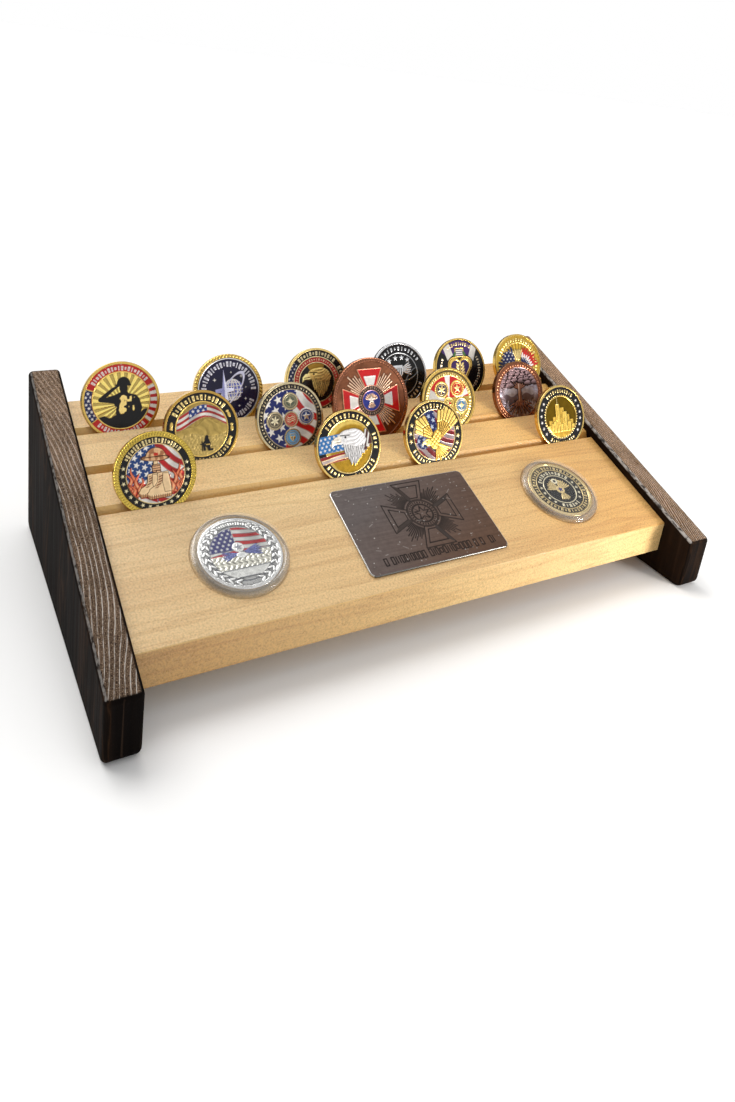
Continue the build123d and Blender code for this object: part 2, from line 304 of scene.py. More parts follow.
    # the right panel's front face is painted near black: painted shade
    if seed == 2:
        face_c = mix(nt, math_(nt, "MULTIPLY", facing(nt, (0, -1, 0), 0.90, 0.99), 0.45), face_c, lin(7, 5, 4))
    if inner_sign > 0:
        # the face beside the deck is painted a lighter brown: painted light bounced from the deck
        thin = mix(nt, broad, lin(19, 13, 9), lin(48, 32, 21))
        face_c = mix(nt, math_(nt, "MULTIPLY", facing(nt, (-1, 0, 0), 0.92, 0.99), 0.6), face_c, thin)
    col = mix(nt, top, face_c, top_c)
    # a painted highlight along the arris between the top and one face, broken up by chips
    arris_dir = (SN + Vector((-1.0 if inner_sign > 0 else -0.75, 0, 0))).normalized()
    edge = facing(nt, tuple(arris_dir), 0.86, 0.97) if inner_sign > 0 else facing(nt, tuple(arris_dir), 0.95, 0.99)
    chips = ramp(nt, noise(nt, coords(nt, (900, 260, 260), loc=off), 1.0, 3.0, 0.7), [(0.40, (0.1, 0.1, 0.1)), (0.55, (1, 1, 1))])
    col = mix(nt, math_(nt, "MULTIPLY", edge, math_(nt, "MULTIPLY", chips, 0.85 if inner_sign > 0 else 0.35)), col, lin(196, 190, 184))
    nt.links.new(col, p.inputs["Base Color"])
    r1 = ramp(nt, streak, [(0.3, (0.62,) * 3), (0.7, (0.85,) * 3)])
    nt.links.new(r1, p.inputs["Roughness"])
    h = math_(nt, "ADD", math_(nt, "MULTIPLY", streak, 0.8), math_(nt, "MULTIPLY", math_(nt, "MULTIPLY", top, wave), 1.0))
    h = math_(nt, "ADD", h, math_(nt, "MULTIPLY", pits, 0.7))
    nt.links.new(bump(nt, h, 0.8, 0.00022), p.inputs["Normal"])
    p.inputs["Specular IOR Level"].default_value = 0.03
    return m


TOP_TONE = {1: (0.96, 0.94, 0.92), 2: (1.10, 0.98, 0.84)}
TOP_PAINTED_LIGHT = {1: ((0.05, 0.95), (0.50, 1.30), (0.95, 1.95)), 2: ((0.05, 1.15), (0.50, 1.80), (0.95, 2.20))}
RING_MID = {1: 0.004, 2: 0.30}
RING_BEND = {1: 1.6, 2: 0.25}
RING_PITCH = {1: 0.0023, 2: 0.0013}
PALE = {1: 0.85, 2: 0.75}


# ------------------------------------------------------------------ drawing on a fine grid
GOLD = lin(222, 186, 102)
PALEGOLD = lin(240, 210, 140)
DEEPGOLD = lin(150, 112, 40)
SILVER = lin(214, 214, 216)
STEEL = lin(120, 122, 128)
COPPER = lin(150, 98, 74)
BRONZE = lin(150, 92, 66)
RED = lin(198, 34, 32)
NAVY = lin(28, 36, 84)
BLUE = lin(44, 96, 168)
SKY = lin(98, 160, 208)
WHITE = lin(244, 240, 234)
BLACK = lin(14, 13, 14)
PURPLE = lin(62, 36, 96)


def blur(a, k):
    for _ in range(2):
        for ax in (0, 1):
            pad = [(0, 0), (0, 0)]
            pad[ax] = (k + 1, k)
            c = np.cumsum(np.pad(a, pad, mode="edge"), axis=ax)
            n = a.shape[ax]
            hi = np.take(c, range(2 * k + 1, 2 * k + 1 + n), axis=ax)
            lo = np.take(c, range(0, n), axis=ax)
            a = (hi - lo) / (2 * k + 1)
    return a


def value_noise(X, Y, scale, seed=0):
    """Smooth noise from 0 to 1."""
    r = np.random.default_rng(seed)
    g = r.random((64, 64))
    x, y = X * scale + 31.7, Y * scale + 17.3
    xi, yi = np.floor(x).astype(int), np.floor(y).astype(int)
    fx, fy = x - xi, y - yi
    fx, fy = fx * fx * (3 - 2 * fx), fy * fy * (3 - 2 * fy)
    a, b = g[yi % 64, xi % 64], g[yi % 64, (xi + 1) % 64]
    c, d = g[(yi + 1) % 64, xi % 64], g[(yi + 1) % 64, (xi + 1) % 64]
    return (a * (1 - fx) + b * fx) * (1 - fy) + (c * (1 - fx) + d * fx) * fy


class Face:
    """A relief drawn in units of the radius: height in mm, colour, metalness and roughness at each point."""

    def __init__(self, half_x, half_y, unit, cell, base, metal, height=0.0, rough=0.3):
        nx, ny = int(half_x * unit / cell) + 2, int(half_y * unit / cell) + 2
        x = np.arange(-nx, nx + 1) * cell / unit
        y = np.arange(-ny, ny + 1) * cell / unit
        self.X, self.Y = np.meshgrid(x, y)
        self.R = np.hypot(self.X, self.Y)
        self.A = np.arctan2(self.Y, self.X)
        self.px = cell / unit
        s = self.X.shape
        self.C = np.broadcast_to(base, s + (3,)).copy()
        self.M = np.full(s, float(metal))
        self.G = np.full(s, float(rough))
        self.H = np.full(s, float(height))

    def paint(self, sd, color=None, metal=None, h=None, rough=None, soft=1.0, add=None, amount=1.0):
        m = np.clip(0.5 - sd / (self.px * soft), 0, 1) * amount
        if color is not None:
            self.C += (np.asarray(color) - self.C) * m[..., None]
        if metal is not None:
            self.M += (metal - self.M) * m
        if rough is not None:
            self.G += (rough - self.G) * m
        if h is not None:
            self.H += (h - self.H) * m
        if add is not None:
            self.H += add * m
        return m

    def metal(self, sd, color, h=0.28, rough=0.25, **k):
        return self.paint(sd, color, 1.0, h, rough, **k)

    def enamel(self, sd, color, h=0.10, rough=0.18, **k):
        return self.paint(sd, color, 0.0, h, rough, **k)

    # distance fields
    def circle(self, cx=0.0, cy=0.0, r=1.0):
        return np.hypot(self.X - cx, self.Y - cy) - r

    def ring(self, r0, r1, cx=0.0, cy=0.0):
        return np.abs(np.hypot(self.X - cx, self.Y - cy) - (r0 + r1) / 2) - (r1 - r0) / 2

    def ellipse(self, cx, cy, a, b, rot=0.0):
        x, y = self.turn(cx, cy, rot)
        k = np.hypot(x / a, y / b)
        return (k - 1) * min(a, b)

    def turn(self, cx, cy, rot):
        c, s = math.cos(rot), math.sin(rot)
        x, y = self.X - cx, self.Y - cy
        return x * c + y * s, -x * s + y * c

    def box(self, cx, cy, hx, hy, rot=0.0, r=0.0):
        x, y = self.turn(cx, cy, rot)
        dx, dy = np.abs(x) - hx + r, np.abs(y) - hy + r
        return np.hypot(np.maximum(dx, 0), np.maximum(dy, 0)) + np.minimum(np.maximum(dx, dy), 0) - r

    def seg(self, x0, y0, x1, y1, w0, w1=None):
        w1 = w0 if w1 is None else w1
        dx, dy = x1 - x0, y1 - y0
        t = np.clip(((self.X - x0) * dx + (self.Y - y0) * dy) / (dx * dx + dy * dy + 1e-9), 0, 1)
        return np.hypot(self.X - x0 - t * dx, self.Y - y0 - t * dy) - (w0 + (w1 - w0) * t)

    def poly(self, pts):
        X, Y = self.X, self.Y
        d = np.full(X.shape, 1e9)
        inside = np.zeros(X.shape, bool)
        n = len(pts)
        for i in range(n):
            (ax, ay), (bx, by) = pts[i], pts[(i + 1) % n]
            dx, dy = bx - ax, by - ay
            t = np.clip(((X - ax) * dx + (Y - ay) * dy) / (dx * dx + dy * dy + 1e-12), 0, 1)
            d = np.minimum(d, np.hypot(X - ax - t * dx, Y - ay - t * dy))
            if ay != by:
                inside ^= ((Y < ay) != (Y < by)) & (X < (bx - ax) * (Y - ay) / (by - ay) + ax)
        return np.where(inside, -d, d)

    def star(self, cx, cy, r, n=5, inner=0.42, rot=0.0):
        pts = []
        for i in range(2 * n):
            q = r if i % 2 == 0 else r * inner
            a = rot + math.pi / 2 + i * math.pi / n
            pts.append((cx + q * math.cos(a), cy + q * math.sin(a)))
        box = (np.abs(self.X - cx) < r * 1.3) & (np.abs(self.Y - cy) < r * 1.3)
        d = np.full(self.X.shape, r)
        ys, xs = np.where(box)
        if len(ys) == 0:
            return d
        sl = (slice(ys.min(), ys.max() + 1), slice(xs.min(), xs.max() + 1))
        sub = Face.__new__(Face)
        sub.X, sub.Y = self.X[sl], self.Y[sl]
        d[sl] = Face.poly(sub, pts)
        return d

    def arc(self, r0, r1, a0, a1):
        """Ring sector, angles in degrees anticlockwise from a0 to a1."""
        mid, half = math.radians((a0 + a1) / 2), math.radians((a1 - a0) / 2)
        da = np.abs((self.A - mid + math.pi) % (2 * math.pi) - math.pi) - half
        return np.maximum(self.ring(r0, r1), da * self.R)

    def marks(self, rm, h, a0, a1, n, color, kinds=(0.62, 0.3, 0.62, 0.46), metal=1.0, up=0.28, hole=True):
        """A band of plain raised bars and dots, in place of lettering."""
        a0r, a1r = math.radians(a0), math.radians(a1)
        span = a1r - a0r
        rel = (self.A - a0r) % (2 * math.pi)
        u = rel / span * n
        k = np.floor(u).astype(int)
        fr = u - k - 0.5
        pitch = span / n * rm
        kk = np.asarray(kinds)[k % len(kinds)]
        hh = np.where(k % 3 == 1, 0.62, 1.0) * h
        d = np.maximum(np.abs(fr) * pitch - kk * pitch / 2, np.abs(self.R - rm) - hh / 2)
        if hole:
            inner = np.maximum(np.abs(fr) * pitch - kk * pitch * 0.14, np.abs(self.R - rm) - hh * 0.22)
            d = np.maximum(d, -inner - self.px * 0.2)
        d = np.where(rel <= span, d, 1.0)
        return self.paint(d, color, metal, up, 0.25, soft=1.2)

    def stars(self, rm, size, angles, color, metal=0.0, up=0.28):
        for a in angles:
            t = math.radians(a)
            self.paint(self.star(rm * math.cos(t), rm * math.sin(t), size, rot=t - math.pi / 2), color, metal, up, 0.25)

    def canton(self, sd, color=NAVY, pitch=0.115, size=0.042, dots=WHITE, rot=0.0):
        """An area of enamel sown with small stars."""
        self.enamel(sd, color)
        x, y = self.turn(0, 0, rot)
        row = np.floor(y / pitch)
        fx = (x / (pitch * 1.35) + 0.5 * (row % 2)) % 1.0 - 0.5
        fy = (y / pitch) % 1.0 - 0.5
        ang = np.arctan2(fy * pitch, fx * pitch * 1.35)
        rad = np.hypot(fy * pitch, fx * pitch * 1.35)
        al = math.pi / 5
        ph = np.abs((ang - math.pi / 2 + al) % (2 * al) - al)
        q = 0.42
        lim = size * 1.12 * q * math.sin(al) / (q * math.sin(al) * np.cos(ph) + (1 - q * math.cos(al)) * np.sin(ph))
        self.paint(np.maximum(rad - lim, sd + self.px), dots, 0.0, 0.2, 0.3, soft=1.2)

    def bars(self, sd, pitch=0.13, rot=0.0, wave=0.0, a=RED, b=WHITE, line=None, phase=0.0):
        """An area of alternating enamel stripes, optionally waving, with a fine metal line between them."""
        x, y = self.turn(0, 0, rot)
        t = (y + wave * np.sin(x * 5.0 + phase)) / pitch
        f = t % 2.0
        red = np.abs(f - 0.5) - 0.5
        self.enamel(sd, b)
        self.enamel(np.maximum(red * pitch, sd), a, h=0.08)
        shade = 0.80 + 0.20 * np.sin(x * 9.0 + phase + y * 3)
        if wave:
            m = np.clip(0.5 - sd / self.px, 0, 1)
            self.C *= 1 + (shade - 1)[..., None] * m[..., None] * 0.8
        if line is not None:
            e = np.minimum(np.abs(f), np.minimum(np.abs(f - 1), np.abs(f - 2)))
            self.metal(np.maximum(e * pitch - self.px * 0.55, sd), line, h=0.24)

    def fan(self, cx, cy, a0, a1, r0, r1, n, color, metal=1.0, h=0.3, tip=0.5, dark=0.55):
        """Feathers or leaves in a fan: n long rounded blades about a point."""
        x, y = self.X - cx, self.Y - cy
        r, a = np.hypot(x, y), np.arctan2(y, x)
        lo, span = math.radians(a0), math.radians(a1 - a0)
        rel = (a - lo) % (2 * math.pi)
        u = rel / span * n
        k = np.floor(u)
        fr = np.abs(u - k - 0.5)
        out = r1 * (1 - tip * fr * fr * 2.0) * (1 - 0.10 * ((k * 7) % 3) / 3)
        d = np.where(rel <= span, np.maximum(r - out, r0 - r), 1.0)
        m = self.paint(d, color, metal, h, 0.26)
        groove = np.clip((fr - 0.30) / 0.20, 0, 1)
        self.H -= m * groove * 0.20
        self.C *= 1 - (m * groove * dark)[..., None]
        barb = 0.5 + 0.5 * np.sin(r * 70 + fr * 9)
        self.H += m * barb * 0.03
        return d

    def age(self, amount=1.6, limit=0.55):
        """Dark patina in the hollows of the metal and a light rub on its high points."""
        low = blur(self.H, 2) - self.H
        wide = blur(self.H, 5) - self.H
        d = np.clip(low * amount * 2.2 + wide * amount, -0.25, limit)
        self.C *= 1 - (d * self.M)[..., None]


def relief_noise(f, sd, scale, amp, seed=1):
    m = np.clip(0.5 - sd / f.px, 0, 1)
    f.H += m * (value_noise(f.X, f.Y, scale, seed) - 0.5) * amp
    f.H += m * (value_noise(f.X, f.Y, scale * 2.3, seed + 5) - 0.5) * amp * 0.5


# ------------------------------------------------------------------ the coins' faces
def face_silhouette(f):
    f.enamel(f.ring(0.79, 1.0), RED)
    f.metal(f.circle(r=0.79), lin(250, 218, 124), h=0.10, rough=0.22)
    rays = np.sin(26 * np.arctan2(f.Y + 0.10, f.X - 0.02))
    inner = f.circle(r=0.77)
    f.H += 0.10 * (rays > 0) * (inner < 0)
    f.C *= np.where((inner < 0) & (rays < 0), 0.62, 1.0)[..., None]
    f.metal(f.ring(0.775, 0.80), GOLD)
    f.canton(f.arc(0.805, 1.0, 158, 214), NAVY, pitch=0.10, size=0.046)
    stripes = f.arc(0.805, 1.0, -42, 24)
    f.enamel(stripes, WHITE)
    k = np.sin(f.A * 30) > 0.0
    f.enamel(np.maximum(stripes, np.where(k, -1.0, 1.0)), RED)
    for a in (24, 158, 214, -42):
        t = math.radians(a)
        f.metal(f.seg(0.80 * math.cos(t), 0.80 * math.sin(t), 0.98 * math.cos(t), 0.98 * math.sin(t), 0.012), GOLD)
    f.marks(0.885, 0.12, 34, 148, 19, WHITE, metal=0.0)
    f.marks(0.885, 0.12, 222, 312, 15, WHITE, metal=0.0)
    # figure in a helmet, hand raised to the brow, above dark ground
    body = f.poly([(-0.02, 0.20), (-0.16, 0.14), (-0.34, 0.10), (-0.40, -0.02), (-0.20, -0.06), (-0.14, -0.20), (-0.16, -0.52), (0.46, -0.52), (0.54, -0.24), (0.48, 0.00), (0.40, 0.10), (0.20, 0.16), (0.16, 0.22)]) - 0.02
    head = np.minimum(f.ellipse(0.08, 0.33, 0.115, 0.15), f.seg(0.08, 0.18, 0.08, 0.30, 0.09))
    helmet = np.maximum(f.ellipse(0.09, 0.44, 0.185, 0.20), 0.42 - f.Y)
    brim = f.seg(-0.12, 0.42, 0.27, 0.405, 0.026)
    arm = np.minimum(f.seg(-0.26, 0.02, -0.56, 0.05, 0.085, 0.062), f.seg(-0.56, 0.05, -0.22, 0.31, 0.062, 0.045))
    hand = f.seg(-0.22, 0.31, -0.05, 0.40, 0.045, 0.024)
    ground = np.maximum(f.Y + 0.38 - 0.09 * f.X - 0.035 * np.sin(f.X * 9 + 1) - 0.02 * np.sin(f.X * 23), inner)
    dark = np.minimum.reduce([body, head, helmet, brim, arm, hand, ground])
    f.enamel(dark, BLACK, h=0.14)
    # worn-looking gold breaks across the chest
    patch = 0.55 * value_noise(f.X, f.Y * 0.7, 17, 3) + 0.45 * value_noise(f.X, f.Y * 0.6, 7, 8)
    fade = np.clip(1.0 - np.hypot((f.X - 0.14) / 0.34, (f.Y + 0.14) / 0.30) ** 3, 0, 1)
    f.metal(np.maximum((0.40 - patch * (0.45 + 0.55 * fade)) * 0.20 + 0.4 * (fade < 0.05), body), lin(250, 218, 136), h=0.22)


def face_planet(f):
    f.enamel(f.circle(r=1.0), lin(25, 22, 56))
    f.metal(f.ring(0.955, 0.985), SILVER)
    f.marks(0.80, 0.15, 204, 336, 21, lin(226, 224, 238), metal=0.3)
    f.marks(0.80, 0.16, -4, 184, 25, lin(232, 230, 242), metal=0.3)
    f.metal(f.circle(0.12, 0.0, 0.33), lin(112, 116, 190), h=0.16)
    g = f.circle(0.12, 0.0, 0.33)
    for k in (-0.22, -0.11, 0.0, 0.11, 0.22):
        f.paint(np.maximum(f.box(0.12, k, 0.4, 0.012), g), WHITE, 0.2, 0.24, 0.3)
        f.paint(np.maximum(np.abs(f.ellipse(0.12, 0.0, abs(k) + 0.04, 0.33)) - 0.012, g), WHITE, 0.2, 0.24, 0.3)
    x, y = f.turn(0.10, 0.02, math.radians(52))
    orbit = np.abs(np.hypot(x / 0.60, y / 0.22) - 1) * 0.22 - 0.020
    f.paint(orbit, lin(216, 214, 236), 0.5, 0.28, 0.25)
    star = np.minimum(f.star(-0.14, 0.0, 0.62, n=4, inner=0.17), f.poly([(-0.14, 0.62), (-0.02, -0.34), (-0.14, -0.24), (-0.26, -0.34)]))
    star = np.maximum(star, np.abs(f.X + 0.14) - 0.30)
    f.metal(star, lin(224, 222, 240), h=0.32)
    # the left half of the star is painted darker: painted shade on that side
    f.paint(np.maximum(star, f.X + 0.14), lin(150, 150, 196), 0.8, None, 0.3)
    for x, y, s in ((0.42, 0.40, 0.05), (-0.44, 0.34, 0.06), (0.52, -0.30, 0.05), (0.30, -0.50, 0.04), (-0.38, -0.46, 0.045), (0.10, 0.54, 0.035), (-0.54, -0.1, 0.035), (0.55, 0.05, 0.03)):
        f.paint(f.star(x, y, s, n=4, inner=0.35), WHITE, 0.0, 0.24, 0.3)


def bird_head(f, color, dark, cx=0.0, cy=0.0, s=1.0, feathers=11, metal=1.0):
    """A bird's head in profile, looking left, with a ruff of long feathers below."""
    r = np.random.default_rng(4)
    X, Y = (f.X - cx) / s, (f.Y - cy) / s
    base = np.asarray(color)
    # overlapping pointed feathers, hung in rows from the lowest up
    rows = ((-0.36, 5, 0.26, -0.02, 0.24), (-0.25, 7, 0.26, -0.10, 0.33), (-0.14, 8, 0.25, -0.16, 0.40), (-0.03, 9, 0.24, -0.20, 0.45), (0.08, 9, 0.22, -0.24, 0.47))
    for y0, n, ln, xa, xb in rows:
        for k in range(n):
            t = k / (n - 1)
            x0 = xa + (xb - xa) * t
            x1 = x0 + 0.05 * (0.2 - t) + r.uniform(-0.02, 0.02) - 0.015
            yy = y0 + 0.03 * math.sin(t * 9 + y0 * 20)
            l = ln * (0.85 + 0.3 * math.sin(math.pi * min(1, t * 0.9 + 0.12))) * r.uniform(0.85, 1.1)
            d = f.seg(cx + s * x0, cy + s * yy, cx + s * x1, cy + s * (yy - l), s * 0.052, s * 0.008)
            m = f.paint(d - 0.013 * s, base * (0.14 if metal < 0.5 else 0.28), metal, 0.16, 0.4)
            m = f.paint(d, base * (1.0 - dark * 0.22 * (k % 2)), metal, 0.30, 0.3)
            f.H += m * 0.05 * np.clip(-d / (s * 0.05), 0, 1)
    head = np.minimum(f.ellipse(cx - 0.10 * s, cy + 0.17 * s, 0.30 * s, 0.20 * s, 0.1), f.ellipse(cx + 0.14 * s, cy + 0.14 * s, 0.34 * s, 0.24 * s, -0.25))
    m = f.paint(head - 0.012 * s, base * (1 - dark * 0.5), metal, 0.26, 0.35)
    m = f.paint(head, base, metal, 0.34, 0.28)
    streak = np.sin(Y * 60 - X * 24 + 3 * np.sin(X * 9))
    f.H += m * 0.04 * streak * (X > -0.12)
    f.C *= 1 - (m * np.clip(-streak - 0.35, 0, 1) * (X > -0.05) * dark * 0.55)[..., None]
    f.paint(f.seg(cx - 0.33 * s, cy + 0.235 * s, cx - 0.04 * s, cy + 0.225 * s, 0.020 * s), base * 0.20, metal, 0.2, 0.4)
    f.paint(f.circle(cx - 0.17 * s, cy + 0.175 * s, 0.034 * s), BLACK, 0, 0.2, 0.2)


def beak(f, cx, cy, s, color):
    pts = [(-0.34, 0.20), (-0.50, 0.19), (-0.62, 0.08), (-0.64, -0.08), (-0.56, 0.0), (-0.46, 0.01), (-0.32, -0.01)]
    f.metal(f.poly([(cx + s * x, cy + s * y) for x, y in pts]) - 0.012 * s, color, h=0.35)
    f.paint(f.seg(cx - 0.55 * s, cy + 0.05 * s, cx - 0.33 * s, cy + 0.06 * s, 0.010 * s), np.asarray(color) * 0.2, 1.0, 0.2, 0.4)


def face_bird_head(f):
    f.enamel(f.ring(0.80, 1.0), BLACK)
    f.canton(f.arc(0.80, 1.0, 138, 250), lin(26, 32, 70), pitch=0.10, size=0.036)
    bright = lin(252, 232, 178)
    f.marks(0.895, 0.12, 42, 132, 13, bright, metal=0.4)
    f.marks(0.895, 0.12, 268, 390, 15, bright, metal=0.4)
    f.metal(f.ring(0.775, 0.80), bright)
    f.enamel(f.ring(0.62, 0.775), lin(196, 34, 38))
    f.marks(0.70, 0.07, -60, 240, 44, lin(236, 190, 150), hole=False, metal=0.4)
    f.metal(f.ring(0.60, 0.625), bright)
    f.enamel(f.circle(r=0.60), lin(30, 22, 16))
    f.metal(f.arc(0.0, 0.60, 60, 120), lin(176, 134, 58), h=0.12, rough=0.35)
    bird_head(f, lin(246, 210, 124), 0.6, 0.05, 0.10, 0.86, metal=0.65)
    beak(f, 0.05, 0.10, 0.86, lin(250, 222, 150))


def face_black_star(f):
    f.enamel(f.circle(r=1.0), BLACK)
    f.metal(f.ring(0.695, 0.712), SILVER)
    f.marks(0.855, 0.115, 28, 158, 14, SILVER, kinds=(0.46, 0.22, 0.46, 0.32))
    f.marks(0.855, 0.115, 200, 340, 15, SILVER, kinds=(0.46, 0.22, 0.46, 0.32))
    for x, y in ((-0.36, 0.46), (-0.12, 0.54), (0.12, 0.54), (0.34, 0.46)):
        f.metal(f.star(x, y, 0.10), SILVER)
    f.fan(-0.10, 0.14, 148, 205, 0.10, 0.52, 6, SILVER)
    f.fan(-0.02, 0.14, -25, 32, 0.10, 0.52, 6, SILVER)
    shield = f.poly([(-0.22, 0.28), (0.12, 0.28), (0.12, 0.02), (-0.05, -0.20), (-0.22, 0.02)])
    f.metal(shield - 0.02, SILVER, h=0.34)
    for x in (-0.17, -0.09, -0.01, 0.07):
        f.paint(np.maximum(f.box(x, 0.0, 0.014, 0.2), shield + 0.02), BLACK, 0, 0.2, 0.3)
    f.fan(-0.05, -0.20, 235, 305, 0.03, 0.36, 5, SILVER)
    for cx, cy, r in ((0.10, 0.62, 0.85), (0.9, -0.5, 0.72), (-0.7, -0.75, 0.7)):
        f.metal(np.maximum(np.abs(f.circle(cx, cy, r)) - 0.014, f.circle(r=0.69)), STEEL, h=0.22)


def face_heart(f):
    f.enamel(f.circle(r=1.0), BLACK)
    f.enamel(f.arc(0.0, 0.97, 40, 140), lin(70, 44, 106))
    f.enamel(np.maximum(f.box(-0.44, 0.55, 0.14, 0.5, 0.35), f.circle(r=0.97)), lin(226, 222, 214))
    f.enamel(np.maximum(f.box(0.58, 0.60, 0.12, 0.5, -0.35), f.circle(r=0.97)), lin(226, 222, 214))
    f.marks(0.86, 0.10, 55, 125, 11, PALEGOLD)
    f.enamel(f.circle(0, -0.12, 0.66), BLACK)
    f.marks(0.80, 0.09, 150, 390, 34, lin(196, 180, 150), hole=False)

    def heart(k):
        x, y = f.X / k, (f.Y + 0.06) / k
        a = np.hypot(np.abs(x) - 0.30, y - 0.26) - 0.335
        b = f.poly([(-0.63 * k, 0.15 * k - 0.06), (0, -0.78 * k - 0.06), (0.63 * k, 0.15 * k - 0.06), (0, 0.42 * k - 0.06)])
        return np.minimum(a * k, b)
    f.metal(heart(0.80) - 0.0, GOLD, h=0.34)
    m = f.paint(np.abs(heart(0.74)) - 0.012, DEEPGOLD, 1.0, 0.24, 0.3)
    f.enamel(heart(0.60), PURPLE, h=0.12)
    f.metal(f.seg(0, -0.40, 0, 0.12, 0.030, 0.018), GOLD, h=0.3)
    for k in range(5):
        y = -0.34 + 0.11 * k
        for sx in (-1, 1):
            f.metal(f.ellipse(sx * 0.105, y + 0.05, 0.115 - 0.010 * k, 0.042, sx * 0.75), PALEGOLD, h=0.32)
    f.metal(f.ellipse(0, 0.20, 0.04, 0.09), PALEGOLD, h=0.34)
    f.metal(f.box(0, 0.56, 0.19, 0.16, r=0.03), GOLD, h=0.3)
    f.enamel(f.box(0, 0.56, 0.15, 0.125), PURPLE)
    for y in (0.49, 0.56, 0.63):
        f.enamel(f.box(0, y, 0.15, 0.020), WHITE, h=0.16)
    for sx in (-1, 1):
        f.enamel(f.ellipse(sx * 0.20, 0.50, 0.05, 0.10, sx * 0.5), lin(70, 110, 60), h=0.25)


def face_winged(f):
    f.metal(f.circle(r=1.0), lin(214, 172, 70), h=0.10, rough=0.28)
    rays = np.sin(34 * np.arctan2(f.Y + 0.10, f.X))
    f.H += 0.07 * rays * (f.R < 0.74)
    f.metal(f.ring(0.74, 0.765), PALEGOLD)
    f.marks(0.86, 0.11, 20, 160, 17, PALEGOLD)
    f.marks(0.86, 0.09, 170, 370, 26, PALEGOLD, hole=False)
    f.fan(-0.10, -0.22, 98, 172, 0.08, 0.86, 8, NAVY, metal=0.0, dark=0.3)
    f.canton(np.maximum(f.arc(0.0, 0.72, 110, 175), f.circle(-0.42, 0.16, 0.30)), NAVY, pitch=0.12, size=0.04)
    f.fan(-0.12, -0.36, 150, 200, 0.06, 0.70, 5, RED, metal=0.0, dark=0.2)
    f.fan(0.10, -0.22, 8, 82, 0.08, 0.86, 9, RED, metal=0.0, dark=0.2)
    f.fan(0.10, -0.22, 8, 82, 0.08, 0.62, 7, WHITE, metal=0.0, dark=0.25)
    f.fan(0.10, -0.22, 20, 84, 0.08, 0.48, 6, NAVY, metal=0.0, dark=0.3)
    f.metal(f.circle(0, -0.14, 0.25), GOLD, h=0.34)
    f.metal(f.ring(0.19, 0.21, 0, -0.14), DEEPGOLD, h=0.24)
    f.metal(f.star(0, -0.14, 0.15), PALEGOLD, h=0.4)
    f.fan(0, 0.02, 60, 120, 0.12, 0.52, 5, PALEGOLD)


